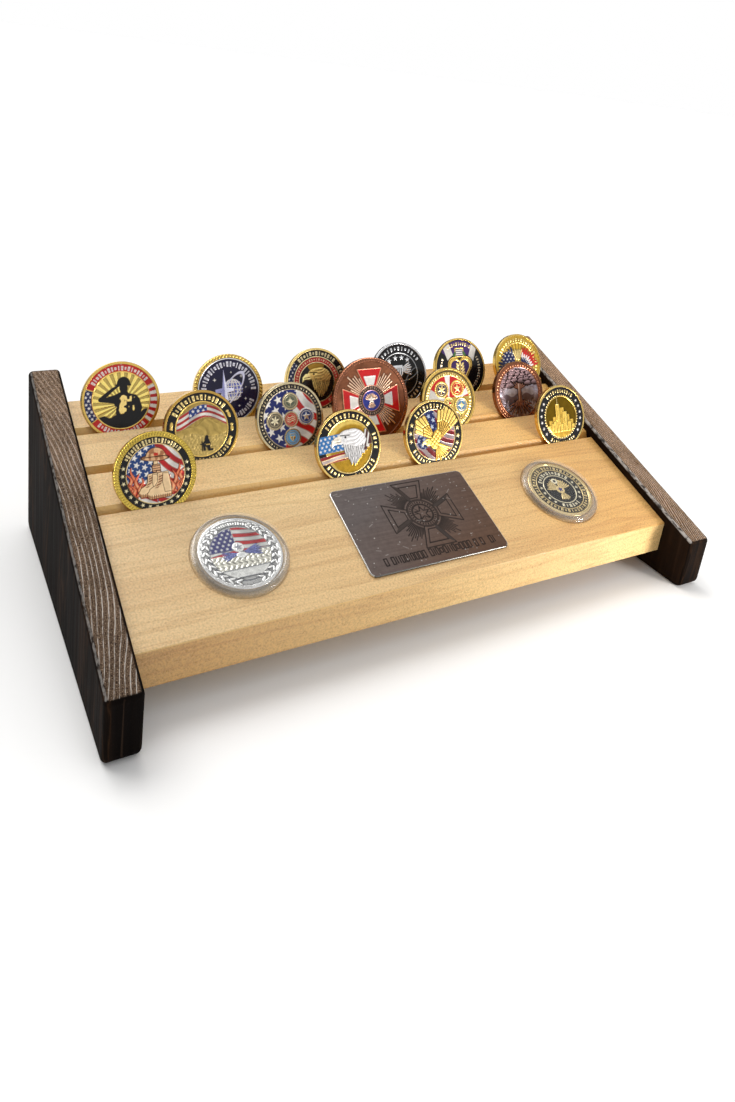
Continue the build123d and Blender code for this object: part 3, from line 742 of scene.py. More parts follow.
def face_relief_flag(f):
    f.enamel(f.circle(r=1.0), BLACK)
    f.marks(0.865, 0.15, 38, 152, 15, PALEGOLD)
    f.marks(0.865, 0.12, 246, 330, 13, lin(200, 176, 116))
    for a in (168, 192, 216, 22, -4, -28):
        t = math.radians(a)
        f.metal(f.ellipse(0.865 * math.cos(t), 0.865 * math.sin(t), 0.085, 0.045, t + 1.57), lin(200, 170, 96), h=0.3)
        f.metal(f.ellipse(0.865 * math.cos(t + 0.12), 0.865 * math.sin(t + 0.12), 0.045, 0.03, t), lin(220, 190, 116), h=0.3)
    inner = f.circle(r=0.74)
    f.metal(inner, lin(168, 142, 80), h=0.14, rough=0.34)
    relief_noise(f, inner, 14, 0.10)
    ridge = 0.10 + 0.12 * np.sin(f.X * 4.2 + 0.8) + 0.05 * np.sin(f.X * 11)
    f.paint(np.maximum(f.Y - ridge, inner), lin(176, 150, 86), 1.0, 0.20, 0.34)
    m = np.clip(0.5 - np.maximum(f.Y - ridge, inner) / f.px, 0, 1)
    slope = np.abs((f.X * 3.1 + f.Y * 2.0 + 0.6 * value_noise(f.X, f.Y, 6, 9)) % 0.9 - 0.45)
    f.H += m * (slope - 0.2) * 0.30
    low = np.maximum(f.Y + 0.16 + 0.06 * np.sin(f.X * 5), inner)
    f.paint(low, lin(188, 162, 98), 1.0, 0.16, 0.32)
    relief_noise(f, low, 22, 0.14, 4)
    # a striped banner blowing over the hills
    x = f.X
    up = 0.50 + 0.16 * np.sin(x * 3.4 + 1.3)
    lowb = 0.16 + 0.16 * np.sin(x * 3.4 + 1.0) - 0.10 * (x > 0.1) * (x - 0.1)
    flag = np.maximum.reduce([f.Y - up, lowb - f.Y, inner + 0.02])
    t = (up - f.Y) / 0.075
    fr = t % 2.0
    f.enamel(flag, WHITE, h=0.22)
    f.enamel(np.maximum(flag, (np.abs(fr - 0.5) - 0.5) * 0.075), lin(186, 52, 50), h=0.20)
    # the waving banner is painted darker and lighter across its folds: painted shade
    painted_fold_shade = 0.78 + 0.22 * np.sin(x * 10 + 0.7)
    mm = np.clip(0.5 - flag / f.px, 0, 1)
    f.C *= 1 + ((painted_fold_shade - 1) * mm)[..., None]
    f.canton(np.maximum.reduce([flag, np.abs(f.X + 0.08) - 0.26, 0.40 + 0.16 * np.sin(x * 3.4 + 1.0) - f.Y - 0.08]), lin(34, 62, 130), pitch=0.11, size=0.05)
    f.metal(f.ring(0.735, 0.76), GOLD)
    # a small kneeling figure beside a marker post
    kneel = np.minimum.reduce([f.ellipse(0.12, -0.24, 0.050, 0.058), f.seg(0.11, -0.30, 0.15, -0.44, 0.062, 0.075), f.seg(0.15, -0.46, 0.03, -0.46, 0.055, 0.040),
                               f.seg(0.03, -0.46, 0.04, -0.58, 0.038, 0.032), f.seg(0.15, -0.48, 0.17, -0.58, 0.055, 0.040), f.seg(0.17, -0.585, 0.26, -0.585, 0.030),
                               f.seg(0.10, -0.33, 0.00, -0.42, 0.032, 0.026), f.seg(-0.02, -0.60, -0.02, -0.36, 0.018), f.seg(-0.07, -0.42, 0.03, -0.42, 0.016)])
    f.enamel(kneel, BLACK, h=0.28)
    f.metal(np.maximum(np.abs(f.Y + 0.44) - 0.012, f.circle(0.14, -0.44, 0.06)), GOLD, h=0.3)


def medallion(f, cx, cy, r, metal_c, field, motif, mc):
    f.metal(f.circle(cx, cy, r), metal_c, h=0.32)
    f.enamel(f.circle(cx, cy, r * 0.80), field, h=0.18) if field is not None else f.metal(f.circle(cx, cy, r * 0.80), metal_c * 0.5, h=0.18)
    a = np.arctan2(f.Y - cy, f.X - cx)
    rr = np.hypot(f.X - cx, f.Y - cy)
    beads = np.maximum(np.abs(rr - r * 0.90) - r * 0.035, 0.02 - 0.03 * (np.sin(a * 22) > 0))
    f.paint(beads, np.asarray(metal_c) * 0.35, 1.0, 0.24, 0.4)
    f.metal(f.ring(r * 0.60, r * 0.66, cx, cy), metal_c, h=0.30)
    if motif == "star":
        f.metal(f.star(cx, cy, r * 0.54), mc, h=0.34)
    elif motif == "shield":
        f.metal(f.poly([(cx - r * 0.34, cy + r * 0.38), (cx + r * 0.34, cy + r * 0.38), (cx + r * 0.30, cy - r * 0.1), (cx, cy - r * 0.50), (cx - r * 0.30, cy - r * 0.1)]), mc, h=0.34)
        f.enamel(f.box(cx, cy + r * 0.22, r * 0.26, r * 0.09), field if field is not None else BLACK, h=0.2)
        f.enamel(f.box(cx, cy - r * 0.12, r * 0.03, r * 0.26), field if field is not None else BLACK, h=0.2)
    elif motif == "compass":
        f.metal(f.star(cx, cy, r * 0.56, n=4, inner=0.25), mc, h=0.34)
        f.metal(f.star(cx, cy, r * 0.36, n=4, inner=0.35, rot=math.pi / 4), mc, h=0.30)
    elif motif == "leaf":
        for k in range(6):
            t = k * math.pi / 3 + 0.3
            f.metal(f.ellipse(cx + r * 0.27 * math.cos(t), cy + r * 0.27 * math.sin(t), r * 0.26, r * 0.10, t), mc, h=0.33)
        f.metal(f.circle(cx, cy, r * 0.12), mc, h=0.36)
    elif motif == "wave":
        for k in (-0.26, 0.0, 0.26):
            f.metal(np.maximum(np.abs(f.Y - cy - r * k - r * 0.09 * np.sin((f.X - cx) / r * 9)) - r * 0.06, f.circle(cx, cy, r * 0.56)), mc, h=0.33)


def face_five(f):
    f.canton(f.circle(r=1.0), lin(30, 40, 104), pitch=0.26, size=0.12, dots=WHITE, rot=0.3)
    half = np.maximum(f.circle(r=1.0), 0.30 * f.Y - f.X + 0.02)
    f.bars(half, pitch=0.20, rot=-0.75, wave=0.06, line=SILVER, phase=0.7)
    band = np.maximum(f.circle(r=1.0), np.abs(f.Y + 0.36 + 0.5 * (f.X + 0.2)) - 0.13)
    f.enamel(f.ring(0.86, 1.0), lin(30, 27, 28))
    f.marks(0.93, 0.060, 0, 358, 58, lin(176, 160, 126), kinds=(0.46, 0.22, 0.46, 0.30))
    f.metal(f.ring(0.84, 0.86), lin(176, 160, 126))
    ag = lin(176, 160, 128)
    medallion(f, 0.02, 0.50, 0.255, ag, lin(96, 104, 84), "compass", lin(214, 202, 168))
    medallion(f, -0.50, -0.02, 0.265, ag, lin(92, 84, 70), "leaf", lin(214, 202, 168))
    medallion(f, 0.50, 0.02, 0.255, SILVER, lin(40, 56, 110), "star", SILVER)
    medallion(f, 0.02, -0.54, 0.265, ag, SKY, "shield", lin(214, 190, 130))
    medallion(f, 0.01, -0.02, 0.235, ag, RED, "wave", lin(206, 190, 156))


def face_cross(f):
    f.metal(f.circle(r=1.0), lin(126, 80, 58), h=0.08, rough=0.38)
    relief_noise(f, f.circle(r=1.0), 16, 0.05, 2)
    blot = value_noise(f.X, f.Y, 3.2, 14)[..., None]
    f.C = f.C * (0.72 + 0.55 * blot)
    # rays on the diagonals
    for q in range(4):
        t0 = math.pi / 4 + q * math.pi / 2
        for k in range(-3, 4):
            t = t0 + k * 0.096
            r1 = 0.90 - 0.06 * abs(k) - (0.07 if k % 2 else 0)
            f.metal(f.seg(0.30 * math.cos(t), 0.30 * math.sin(t), r1 * math.cos(t), r1 * math.sin(t), 0.009, 0.017), lin(232, 196, 168), h=0.32, rough=0.24)
    # four plain flared arms, red with a white heart
    for q in range(4):
        t = q * math.pi / 2
        c, s = math.cos(t), math.sin(t)
        tr = lambda pts: [(x * c - y * s, x * s + y * c) for x, y in pts]
        f.metal(f.poly(tr([(0.26, 0.11), (0.80, 0.345), (0.80, -0.345), (0.26, -0.11)])) - 0.020, lin(214, 160, 126), h=0.34)
        f.enamel(f.poly(tr([(0.26, 0.11), (0.80, 0.345), (0.80, -0.345), (0.26, -0.11)])), lin(206, 24, 28), h=0.22)
        f.metal(f.poly(tr([(0.34, 0.070), (0.61, 0.165), (0.61, -0.165), (0.34, -0.070)])) - 0.014, SILVER, h=0.30)
        f.enamel(f.poly(tr([(0.34, 0.070), (0.61, 0.165), (0.61, -0.165), (0.34, -0.070)])), WHITE, h=0.22)
    f.metal(f.circle(r=0.395), lin(164, 118, 96), h=0.36)
    f.enamel(f.ring(0.275, 0.375), lin(24, 22, 26), h=0.24)
    f.marks(0.325, 0.050, 0, 358, 34, lin(196, 156, 130), kinds=(0.50, 0.26, 0.50, 0.36))
    f.enamel(f.circle(r=0.255), lin(46, 58, 150), h=0.24)
    f.fan(0, -0.02, 20, 160, 0.04, 0.22, 9, lin(206, 168, 140))
    f.fan(0, 0.0, 230, 310, 0.03, 0.20, 6, lin(206, 168, 140))
    f.metal(f.star(0, 0.02, 0.12), lin(226, 214, 200), h=0.42)


def face_branches(f):
    f.metal(f.circle(r=1.0), GOLD * 0.75, h=0.1)
    f.enamel(f.ring(0.925, 0.965), BLACK)
    f.marks(0.86, 0.075, 0, 358, 60, PALEGOLD)
    f.metal(f.ring(0.795, 0.815), GOLD)
    top = np.maximum(f.circle(r=0.795), -f.Y + 0.08)
    f.enamel(top, RED)
    for a in (20, 160, 90):
        t = math.radians(a)
        f.enamel(np.maximum(f.poly([(0, -0.1), (math.cos(t - 0.13), math.sin(t - 0.13)), (math.cos(t + 0.13), math.sin(t + 0.13))]), top), WHITE, h=0.16)
    f.enamel(np.maximum(f.arc(0.0, 0.795, 150, 200), f.circle(r=0.795)), lin(214, 210, 202))
    medallion(f, -0.26, 0.36, 0.27, GOLD, NAVY, "leaf", PALEGOLD)
    medallion(f, 0.36, 0.36, 0.27, GOLD, RED, "star", PALEGOLD)
    for cx, cy, r, c in ((-0.52, -0.18, 0.24, SKY * 0.7), (0.48, -0.20, 0.26, SKY * 0.7), (-0.02, -0.08, 0.20, None), (-0.26, -0.56, 0.22, None), (0.22, -0.58, 0.22, NAVY)):
        medallion(f, cx, cy, r, GOLD, c, "compass" if r > 0.21 else "leaf", PALEGOLD)
    f.enamel(f.circle(0.02, -0.10, 0.05), RED, h=0.3)


def face_tree(f):
    f.metal(f.circle(r=1.0), lin(136, 84, 62), h=0.12, rough=0.34)
    f.marks(0.93, 0.05, 0, 358, 52, lin(196, 132, 98), hole=False)
    inner = f.circle(r=0.86)
    f.metal(inner, lin(166, 150, 156), h=0.10, rough=0.34)
    relief_noise(f, inner, 9, 0.14, 11)
    relief_noise(f, inner, 26, 0.10, 12)
    # the field is blotched brown and pale blue-grey; the pale blue-grey patches are painted reflections
    tint = value_noise(f.X, f.Y, 7, 21)[..., None]
    m = np.clip(0.5 - inner / f.px, 0, 1)[..., None]
    f.C = f.C * (1 - m * 0.8) + m * 0.8 * (lin(118, 84, 74) * (1 - tint) + lin(206, 202, 220) * tint)
    # pale hills and sky showing between the trunk and the hanging boughs
    for sx, w in ((-1, 0.25), (1, 0.23)):
        d = np.maximum(f.ellipse(sx * 0.38 + 0.02, -0.06, w + 0.05, 0.30, sx * 0.5) + 0.03 * np.sin(f.X * 17 + f.Y * 23), f.Y - 0.16 - 0.05 * np.sin(f.X * 20))
        mm = f.metal(d, lin(222, 214, 224), h=0.08, rough=0.32, soft=4, amount=0.7)
        f.C *= 1 - (mm * 0.55 * value_noise(f.X, f.Y, 9, 33))[..., None]
        f.paint(np.maximum(d, f.Y + 0.08 + 0.05 * np.sin(f.X * 12 + sx)), lin(96, 70, 74), 1.0, 0.14, 0.35, soft=2, amount=0.8)
    bark, dk = lin(150, 104, 84), lin(40, 24, 22)
    roots = [(a, l, -0.26, 0.042, 0.012) for a, l in ((200, 0.50), (214, 0.60), (230, 0.58), (248, 0.50), (270, 0.42), (292, 0.50), (310, 0.58), (326, 0.60), (340, 0.50))]
    boughs = [(a, l, 0.12, 0.030, 0.012) for a, l in ((22, 0.46), (42, 0.45), (64, 0.40), (90, 0.34), (116, 0.40), (138, 0.45), (158, 0.46))]
    trunk = f.seg(0.02, -0.30, 0.02, 0.30, 0.075, 0.050)
    f.metal(trunk - 0.030, dk, h=0.20, rough=0.4)
    for a, l, y, w0, w1 in roots + boughs:
        t = math.radians(a)
        f.metal(f.seg(0.02, y, 0.02 + l * math.cos(t), y + l * math.sin(t), w0, w1) - 0.024, dk, h=0.18, rough=0.4)
    for a, l, y, w0, w1 in roots + boughs:
        t = math.radians(a)
        f.metal(f.seg(0.02, y, 0.02 + l * math.cos(t), y + l * math.sin(t), w0, w1), bark, h=0.30, rough=0.4)
    f.metal(trunk, bark, h=0.32, rough=0.4)
    f.paint(f.seg(-0.02, -0.30, 0.0, 0.28, 0.014), lin(226, 200, 184), 1.0, 0.34, 0.3)
    # rounded clumps of leaves, the upper ones behind
    r = np.random.default_rng(5)
    for row, (y, n, w) in enumerate(((0.72, 3, 0.26), (0.62, 5, 0.46), (0.51, 6, 0.60), (0.40, 6, 0.66), (0.28, 6, 0.70))):
        for k in range(n):
            cx, cy, q = -w + 2 * w * k / (n - 1) + r.uniform(-0.04, 0.04) + 0.02, y + r.uniform(-0.03, 0.03), r.uniform(0.10, 0.15)
            if row == 4 and abs(cx) < 0.25:
                continue
            d = np.maximum(f.ellipse(cx, cy, q * 1.35, q * 0.62), f.circle(r=0.85))
            d = d + 0.012 * np.sin(f.X * 60 + cy * 50) * np.sin(f.Y * 60)
            f.metal(d - 0.022, dk, h=0.14, rough=0.4)
            mm = f.metal(d, lin(128, 104, 106), h=0.20, rough=0.36)
            lift = np.clip(-d / (q * 0.62), 0, 1)
            f.H += mm * 0.16 * np.sqrt(lift)
            # each clump is painted lighter towards its top and darker towards its bottom: painted highlight and shade
            clump_light_and_shade = np.clip((f.Y - cy) / (q * 0.6), -1, 1)
            f.C *= 1 + (mm * np.where(clump_light_and_shade > 0, clump_light_and_shade * 1.25, clump_light_and_shade * 0.85))[..., None]
    # broken ground and trailing roots below
    for _ in range(46):
        x, y = r.uniform(-0.72, 0.72), r.uniform(-0.74, -0.22)
        if x * x + y * y > 0.66 or abs(x - 0.02) < 0.07:
            continue
        f.metal(f.seg(x, y, x + r.uniform(-0.06, 0.06), y - r.uniform(0.05, 0.16), 0.016, 0.006), dk if r.random() < 0.6 else lin(214, 206, 214), h=0.14, rough=0.35)
    low = np.maximum(f.Y + 0.34, inner)
    relief_noise(f, low, 24, 0.30, 31)
    f.metal(f.ring(0.855, 0.875), lin(176, 112, 80))


def face_rope_rim(f):
    f.enamel(f.circle(r=1.0), BLACK)
    f.marks(0.90, 0.13, 38, 152, 20, lin(226, 204, 146))
    f.stars(0.90, 0.062, list(range(165, 376, 13)), lin(226, 214, 170), metal=0.6)
    f.metal(f.ring(0.795, 0.815), PALEGOLD)
    inner = f.circle(r=0.795)
    f.canton(np.maximum(inner, f.X - 0.02), lin(34, 66, 124), pitch=0.17, size=0.085, dots=WHITE, rot=-0.35)
    right = np.maximum(inner, -f.X + 0.02)
    f.bars(right, pitch=0.14, rot=-0.62, wave=0.05, a=lin(190, 36, 38), line=lin(150, 110, 80))
    f.bars(np.maximum.reduce([inner, f.X - 0.0, f.Y + 0.06 - 0.3 * f.X]), pitch=0.12, rot=-0.30, wave=0.04, a=lin(190, 36, 38))
    # tongues of flame on both sides
    r = np.random.default_rng(3)
    for sx in (-1, 1):
        for k, (x0, y0, x1, y1, w) in enumerate(((0.66, -0.40, 0.76, 0.06, 0.085), (0.60, -0.52, 0.62, 0.22, 0.085), (0.50, -0.56, 0.50, 0.06, 0.085), (0.40, -0.60, 0.42, -0.08, 0.08), (0.56, -0.60, 0.70, -0.20, 0.07), (0.32, -0.62, 0.34, -0.26, 0.07))):
            left, rightp = [], []
            n = 12
            for i in range(n + 1):
                t = i / n
                px = x0 + (x1 - x0) * t + 0.06 * math.sin(t * 7 + k * 1.7)
                ww = w * (1 - t) ** 0.8
                left.append((sx * (px + ww), y0 + (y1 - y0) * t))
                rightp.append((sx * (px - ww), y0 + (y1 - y0) * t))
            d = np.maximum(f.poly(left + rightp[::-1]), inner)
            f.metal(d - 0.016, lin(112, 30, 22), h=0.24)
            f.paint(d, lin(226, 120, 84), 0.3, 0.28, 0.3)
            f.paint(d + 0.030, lin(246, 190, 140), 0.2, 0.30, 0.3)
    tan, dk = lin(232, 200, 156), lin(64, 36, 26)
    # post with a grip and a strap
    f.metal(f.seg(-0.01, -0.34, 0.01, 0.40, 0.060) - 0.014, dk, h=0.28)
    f.metal(f.seg(-0.01, -0.34, 0.01, 0.40, 0.050), tan, h=0.33)
    f.metal(f.box(0.02, 0.14, 0.115, 0.10, 0.06, 0.03) - 0.012, dk, h=0.30)
    f.metal(f.box(0.02, 0.14, 0.105, 0.09, 0.06, 0.03), lin(206, 160, 122), h=0.36)
    for y in (0.08, 0.14, 0.20):
        f.metal(f.box(0.02, y, 0.10, 0.010), dk, h=0.24)
    f.metal(f.box(0.06, -0.06, 0.06, 0.13, -0.12, 0.02) - 0.010, dk, h=0.30)
    f.metal(f.box(0.06, -0.06, 0.05, 0.12, -0.12, 0.02), lin(214, 172, 134), h=0.35)

    def boot(cx, cy, k):
        P = lambda pts: [(cx + k * x, cy + k * y) for x, y in pts]
        up = f.poly(P([(-0.10, 0.34), (0.16, 0.36), (0.20, 0.08), (0.24, -0.12), (0.20, -0.24), (-0.34, -0.26), (-0.42, -0.20), (-0.36, -0.10), (-0.20, -0.02), (-0.12, 0.10)])) - 0.03 * k
        sole = f.poly(P([(-0.46, -0.20), (0.25, -0.20), (0.24, -0.33), (-0.40, -0.35)])) - 0.015
        f.metal(np.minimum(up, sole) - 0.016, dk, h=0.28)
        f.metal(sole, lin(196, 150, 110), h=0.34)
        m = f.metal(up, tan, h=0.38, rough=0.33)
        tongue = f.poly(P([(-0.10, 0.32), (0.04, 0.33), (0.0, 0.10), (-0.14, -0.06), (-0.24, -0.06), (-0.12, 0.12)]))
        f.paint(tongue, lin(150, 104, 74), 1.0, 0.32, 0.35)
        lace = np.maximum(np.abs((f.Y * 0.95 - f.X * 0.30) % 0.062 - 0.031) - 0.010, tongue)
        f.paint(lace, tan, 1.0, 0.38, 0.3)
        f.paint(np.maximum(np.abs(f.poly(P([(0.02, 0.36), (0.26, 0.34), (0.26, -0.2), (0.06, -0.2), (0.0, 0.1)]))) - 0.007, up), dk, 0.8, 0.3, 0.4)
        tread = np.maximum(np.abs((f.X * 1.0) % 0.06 - 0.03) - 0.009, np.maximum(sole, f.Y - (cy - 0.26 * k)))
        f.paint(tread, dk, 0.8, 0.26, 0.4)
    boot(-0.12, -0.30, 0.80)
    boot(0.16, -0.34, 0.92)
    dome = np.maximum(f.ellipse(0.02, 0.42, 0.275, 0.27), 0.42 - f.Y)
    brim = f.ellipse(0.0, 0.42, 0.335, 0.070, -0.06)
    hel = np.minimum(dome, brim)
    f.metal(hel - 0.018, dk, h=0.32)
    f.metal(hel, lin(214, 172, 130), h=0.38, rough=0.35)
    relief_noise(f, hel, 12, 0.10, 8)
    f.paint(np.maximum(hel, 0.40 - value_noise(f.X, f.Y, 12, 17) * 0.75), lin(160, 110, 78), 0.8, None, 0.4, soft=2)
    f.paint(np.maximum(np.abs(f.Y - 0.455) - 0.012, hel), dk, 0.8, 0.30, 0.4)
    f.metal(f.box(0.03, 0.52, 0.06, 0.035, 0, 0.01), lin(190, 60, 50), h=0.40)


def face_white_bird(f):
    f.enamel(f.circle(r=1.0), BLACK)
    thin = (0.50, 0.24, 0.50, 0.34)
    f.marks(0.875, 0.130, 36, 144, 12, PALEGOLD, kinds=thin)
    f.marks(0.875, 0.125, 196, 262, 8, PALEGOLD, kinds=thin)
    f.marks(0.875, 0.125, 276, 330, 7, PALEGOLD, kinds=thin)
    f.marks(0.875, 0.115, -12, 22, 4, PALEGOLD, kinds=thin)
    f.metal(f.ring(0.745, 0.765), PALEGOLD)
    inner = f.circle(r=0.745)
    f.metal(inner, lin(190, 148, 52), h=0.05, rough=0.16)
    # a paler crescent round the upper left of the gold field: a painted sheen
    f.paint(np.maximum(inner, -f.circle(0.10, -0.10, 0.72)), lin(240, 206, 110), 1.0, 0.08, 0.16, soft=5)
    # striped cloth to the left and ragged stripes to the right
    flag = np.maximum(f.circle(r=0.97), f.box(-0.50, 0.13, 0.52, 0.24, 0.06))
    f.canton(np.maximum(flag, f.X - 0.02), lin(52, 120, 186), pitch=0.105, size=0.045, rot=0.12)
    low = np.maximum.reduce([f.circle(r=0.97), f.Y + 0.12 - 0.12 * f.X, -(f.Y + 0.42 - 0.10 * (f.X + 0.7)), f.X - 0.12])
    f.bars(low, pitch=0.105, rot=0.10, wave=0.02, a=lin(170, 44, 44), b=lin(236, 214, 208), line=PALEGOLD)
    for k in range(4):
        x = 0.52 + 0.07 * k
        rag = np.maximum(np.maximum(f.box(x, 0.10 + 0.03 * k, 0.05, 0.34 - 0.05 * k, -0.25), inner), -1.0)
        f.enamel(rag - 0.014, lin(36, 28, 26))
        f.enamel(rag, WHITE if k % 2 == 0 else lin(84, 40, 40), h=0.2)
    bird_head(f, lin(232, 230, 230), 0.55, 0.06, 0.10, 0.98, feathers=13, metal=0.15)
    beak(f, 0.06, 0.10, 0.98, lin(222, 212, 196))


def face_gold_bird(f):
    f.enamel(f.circle(r=1.0), BLACK)
    thin = (0.50, 0.24, 0.50, 0.34)
    f.marks(0.875, 0.130, 40, 140, 12, PALEGOLD, kinds=thin)
    f.marks(0.875, 0.125, 205, 262, 8, PALEGOLD, kinds=thin)
    f.marks(0.875, 0.125, 276, 332, 8, PALEGOLD, kinds=thin)
    f.stars(0.875, 0.075, (156, 172, 188, 24, 8, -8, -22), PALEGOLD, metal=0.5)
    f.metal(f.ring(0.745, 0.765), PALEGOLD)
    inner = f.circle(r=0.745)
    f.enamel(inner, lin(24, 18, 22))
    f.bars(inner, pitch=0.14, rot=-0.55, wave=0.06, a=lin(140, 20, 28), b=lin(186, 166, 168), line=lin(70, 46, 26))
    f.enamel(np.maximum(inner, np.abs(f.circle(0.55, 0.30, 0.95)) - 0.05), lin(40, 22, 30), h=0.1)
    f.canton(np.maximum.reduce([inner, f.X - 0.16 + 0.2 * f.Y, 0.02 - f.Y - 0.55 * (f.X + 0.5)]), lin(20, 34, 92), pitch=0.17, size=0.075, dots=lin(176, 190, 214), rot=0.3)
    f.canton(np.maximum.reduce([inner, f.circle(-0.42, -0.16, 0.24)]), lin(20, 34, 92), pitch=0.15, size=0.07, dots=lin(176, 190, 214), rot=0.1)
    # spread wings, body, tail and head
    clip = f.circle(r=0.97)
    dk = DEEPGOLD * 0.45
    for cx, cy, a0, a1, r1, n in ((0.00, -0.14, 112, 160, 0.84, 5), (0.08, -0.20, 32, 84, 1.06, 7)):
        for layer, (k, c) in enumerate(((1.0, lin(222, 188, 106)), (0.60, lin(204, 166, 84)))):
            for j in range(n):
                t = math.radians(a0 + (a1 - a0) * (j + 0.5) / n)
                l = r1 * k * (0.82 + 0.18 * math.sin(math.pi * (j + 0.8) / n)) * (1 - 0.05 * (j % 2))
                bx, by = cx + 0.16 * math.cos(t), cy + 0.16 * math.sin(t)
                ex, ey = cx + l * math.cos(t), cy + l * math.sin(t)
                wd = (math.radians(a1 - a0) / n) * l * 0.44
                d = np.maximum(f.seg(bx, by, ex, ey, 0.03, wd), clip)
                f.paint(d - 0.024, dk, 0.6, 0.16 + 0.03 * layer, 0.35)
                m = f.metal(d, c, h=0.30 + 0.04 * layer)
                f.paint(np.maximum(f.seg(bx, by, ex, ey, 0.006), d), lin(176, 134, 52), 1.0, 0.27 + 0.04 * layer, 0.3)
    for j in range(9):
        t = math.radians(262 + 9.5 * j)
        l = 0.50 - 0.06 * (j % 2)
        d = np.maximum(f.seg(0.06, -0.28, 0.06 + l * math.cos(t), -0.28 + l * math.sin(t), 0.05, 0.018), clip)
        f.paint(d - 0.010, dk, 1.0, 0.2, 0.35)
        f.metal(d, lin(206, 170, 92) if j % 2 else lin(190, 152, 72), h=0.34)
    body = np.minimum(f.seg(0.10, -0.02, -0.04, -0.30, 0.15, 0.13), f.seg(-0.04, -0.20, -0.26, -0.22, 0.13, 0.10))
    f.paint(body - 0.012, dk, 1.0, 0.26, 0.35)
    m = f.metal(body, lin(196, 158, 78), h=0.38)
    sc = np.sin(f.X * 44) * np.sin(f.Y * 44)
    f.H += m * 0.04 * sc
    f.C *= 1 - (m * np.clip(-sc, 0, 1) * 0.35)[..., None]
    f.metal(f.circle(-0.28, -0.20, 0.105), lin(210, 176, 96), h=0.42)
    f.metal(f.poly([(-0.34, -0.14), (-0.46, -0.18), (-0.49, -0.29), (-0.42, -0.25), (-0.34, -0.27)]), PALEGOLD, h=0.42)
    f.paint(f.circle(-0.31, -0.18, 0.020), BLACK, 0.0, 0.3, 0.3)


def face_skyline(f):
    f.enamel(f.circle(r=1.0), BLACK)
    a = (f.A * 50 / (2 * math.pi)) % 1.0 - 0.5
    f.metal(np.hypot(a * 2 * math.pi * 0.722 / 50, f.R - 0.722) - 0.017, PALEGOLD, h=0.32)
    f.marks(0.865, 0.110, 48, 132, 12, PALEGOLD, kinds=(0.50, 0.24, 0.50, 0.34))
    f.marks(0.865, 0.110, 232, 308, 11, PALEGOLD, kinds=(0.50, 0.24, 0.50, 0.34))
    f.stars(0.865, 0.055, (146, 160, 174, 188, 202, 216, 34, 20, 6, -8, -22, -36), WHITE)
    f.metal(f.ring(0.675, 0.70), GOLD)
    inner = f.circle(r=0.675)
    f.metal(inner, lin(126, 98, 26), h=0.03, rough=0.12)
    # invented skyline: flat-topped blocks of many heights
    back = ((-0.46, -0.10, 0.07), (-0.30, 0.02, 0.06), (0.30, 0.06, 0.07), (0.46, -0.12, 0.07), (0.04, 0.30, 0.10))
    front = ((-0.54, -0.26, 0.07), (-0.40, -0.20, 0.06), (-0.14, 0.44, 0.085), (0.17, 0.16, 0.085), (-0.28, -0.14, 0.06), (0.36, -0.18, 0.07), (0.52, -0.28, 0.06), (0.01, -0.24, 0.07))
    for n, group in enumerate((back, front)):
        for x, top, hx in group:
            d = np.maximum.reduce([np.abs(f.X - x) - hx, f.Y - top, inner, -0.52 - f.Y])
            f.paint(d - 0.012, DEEPGOLD * 0.6, 1.0, 0.10 + 0.06 * n, 0.3)
            f.metal(d, lin(226, 188, 88) if n == 0 else lin(246, 212, 112), h=0.20 + 0.10 * n, rough=0.22)
            win = np.maximum(np.sin((f.X - x) * 105) * 0.02 + 0.004, d + 0.016)
            f.paint(win, lin(190, 150, 62), 1.0, 0.16 + 0.10 * n, 0.3)
            # the left part of each block is painted darker: painted shade on its side
            f.paint(np.maximum.reduce([f.X - x + hx * 0.35, d]), lin(196, 156, 66), 1.0, None, 0.25, amount=0.55)
    f.metal(f.seg(-0.14, 0.42, -0.14, 0.62, 0.014), PALEGOLD, h=0.34)
    f.metal(np.maximum(f.box(0.0, -0.60, 0.6, 0.10), inner), lin(214, 170, 70), h=0.2)


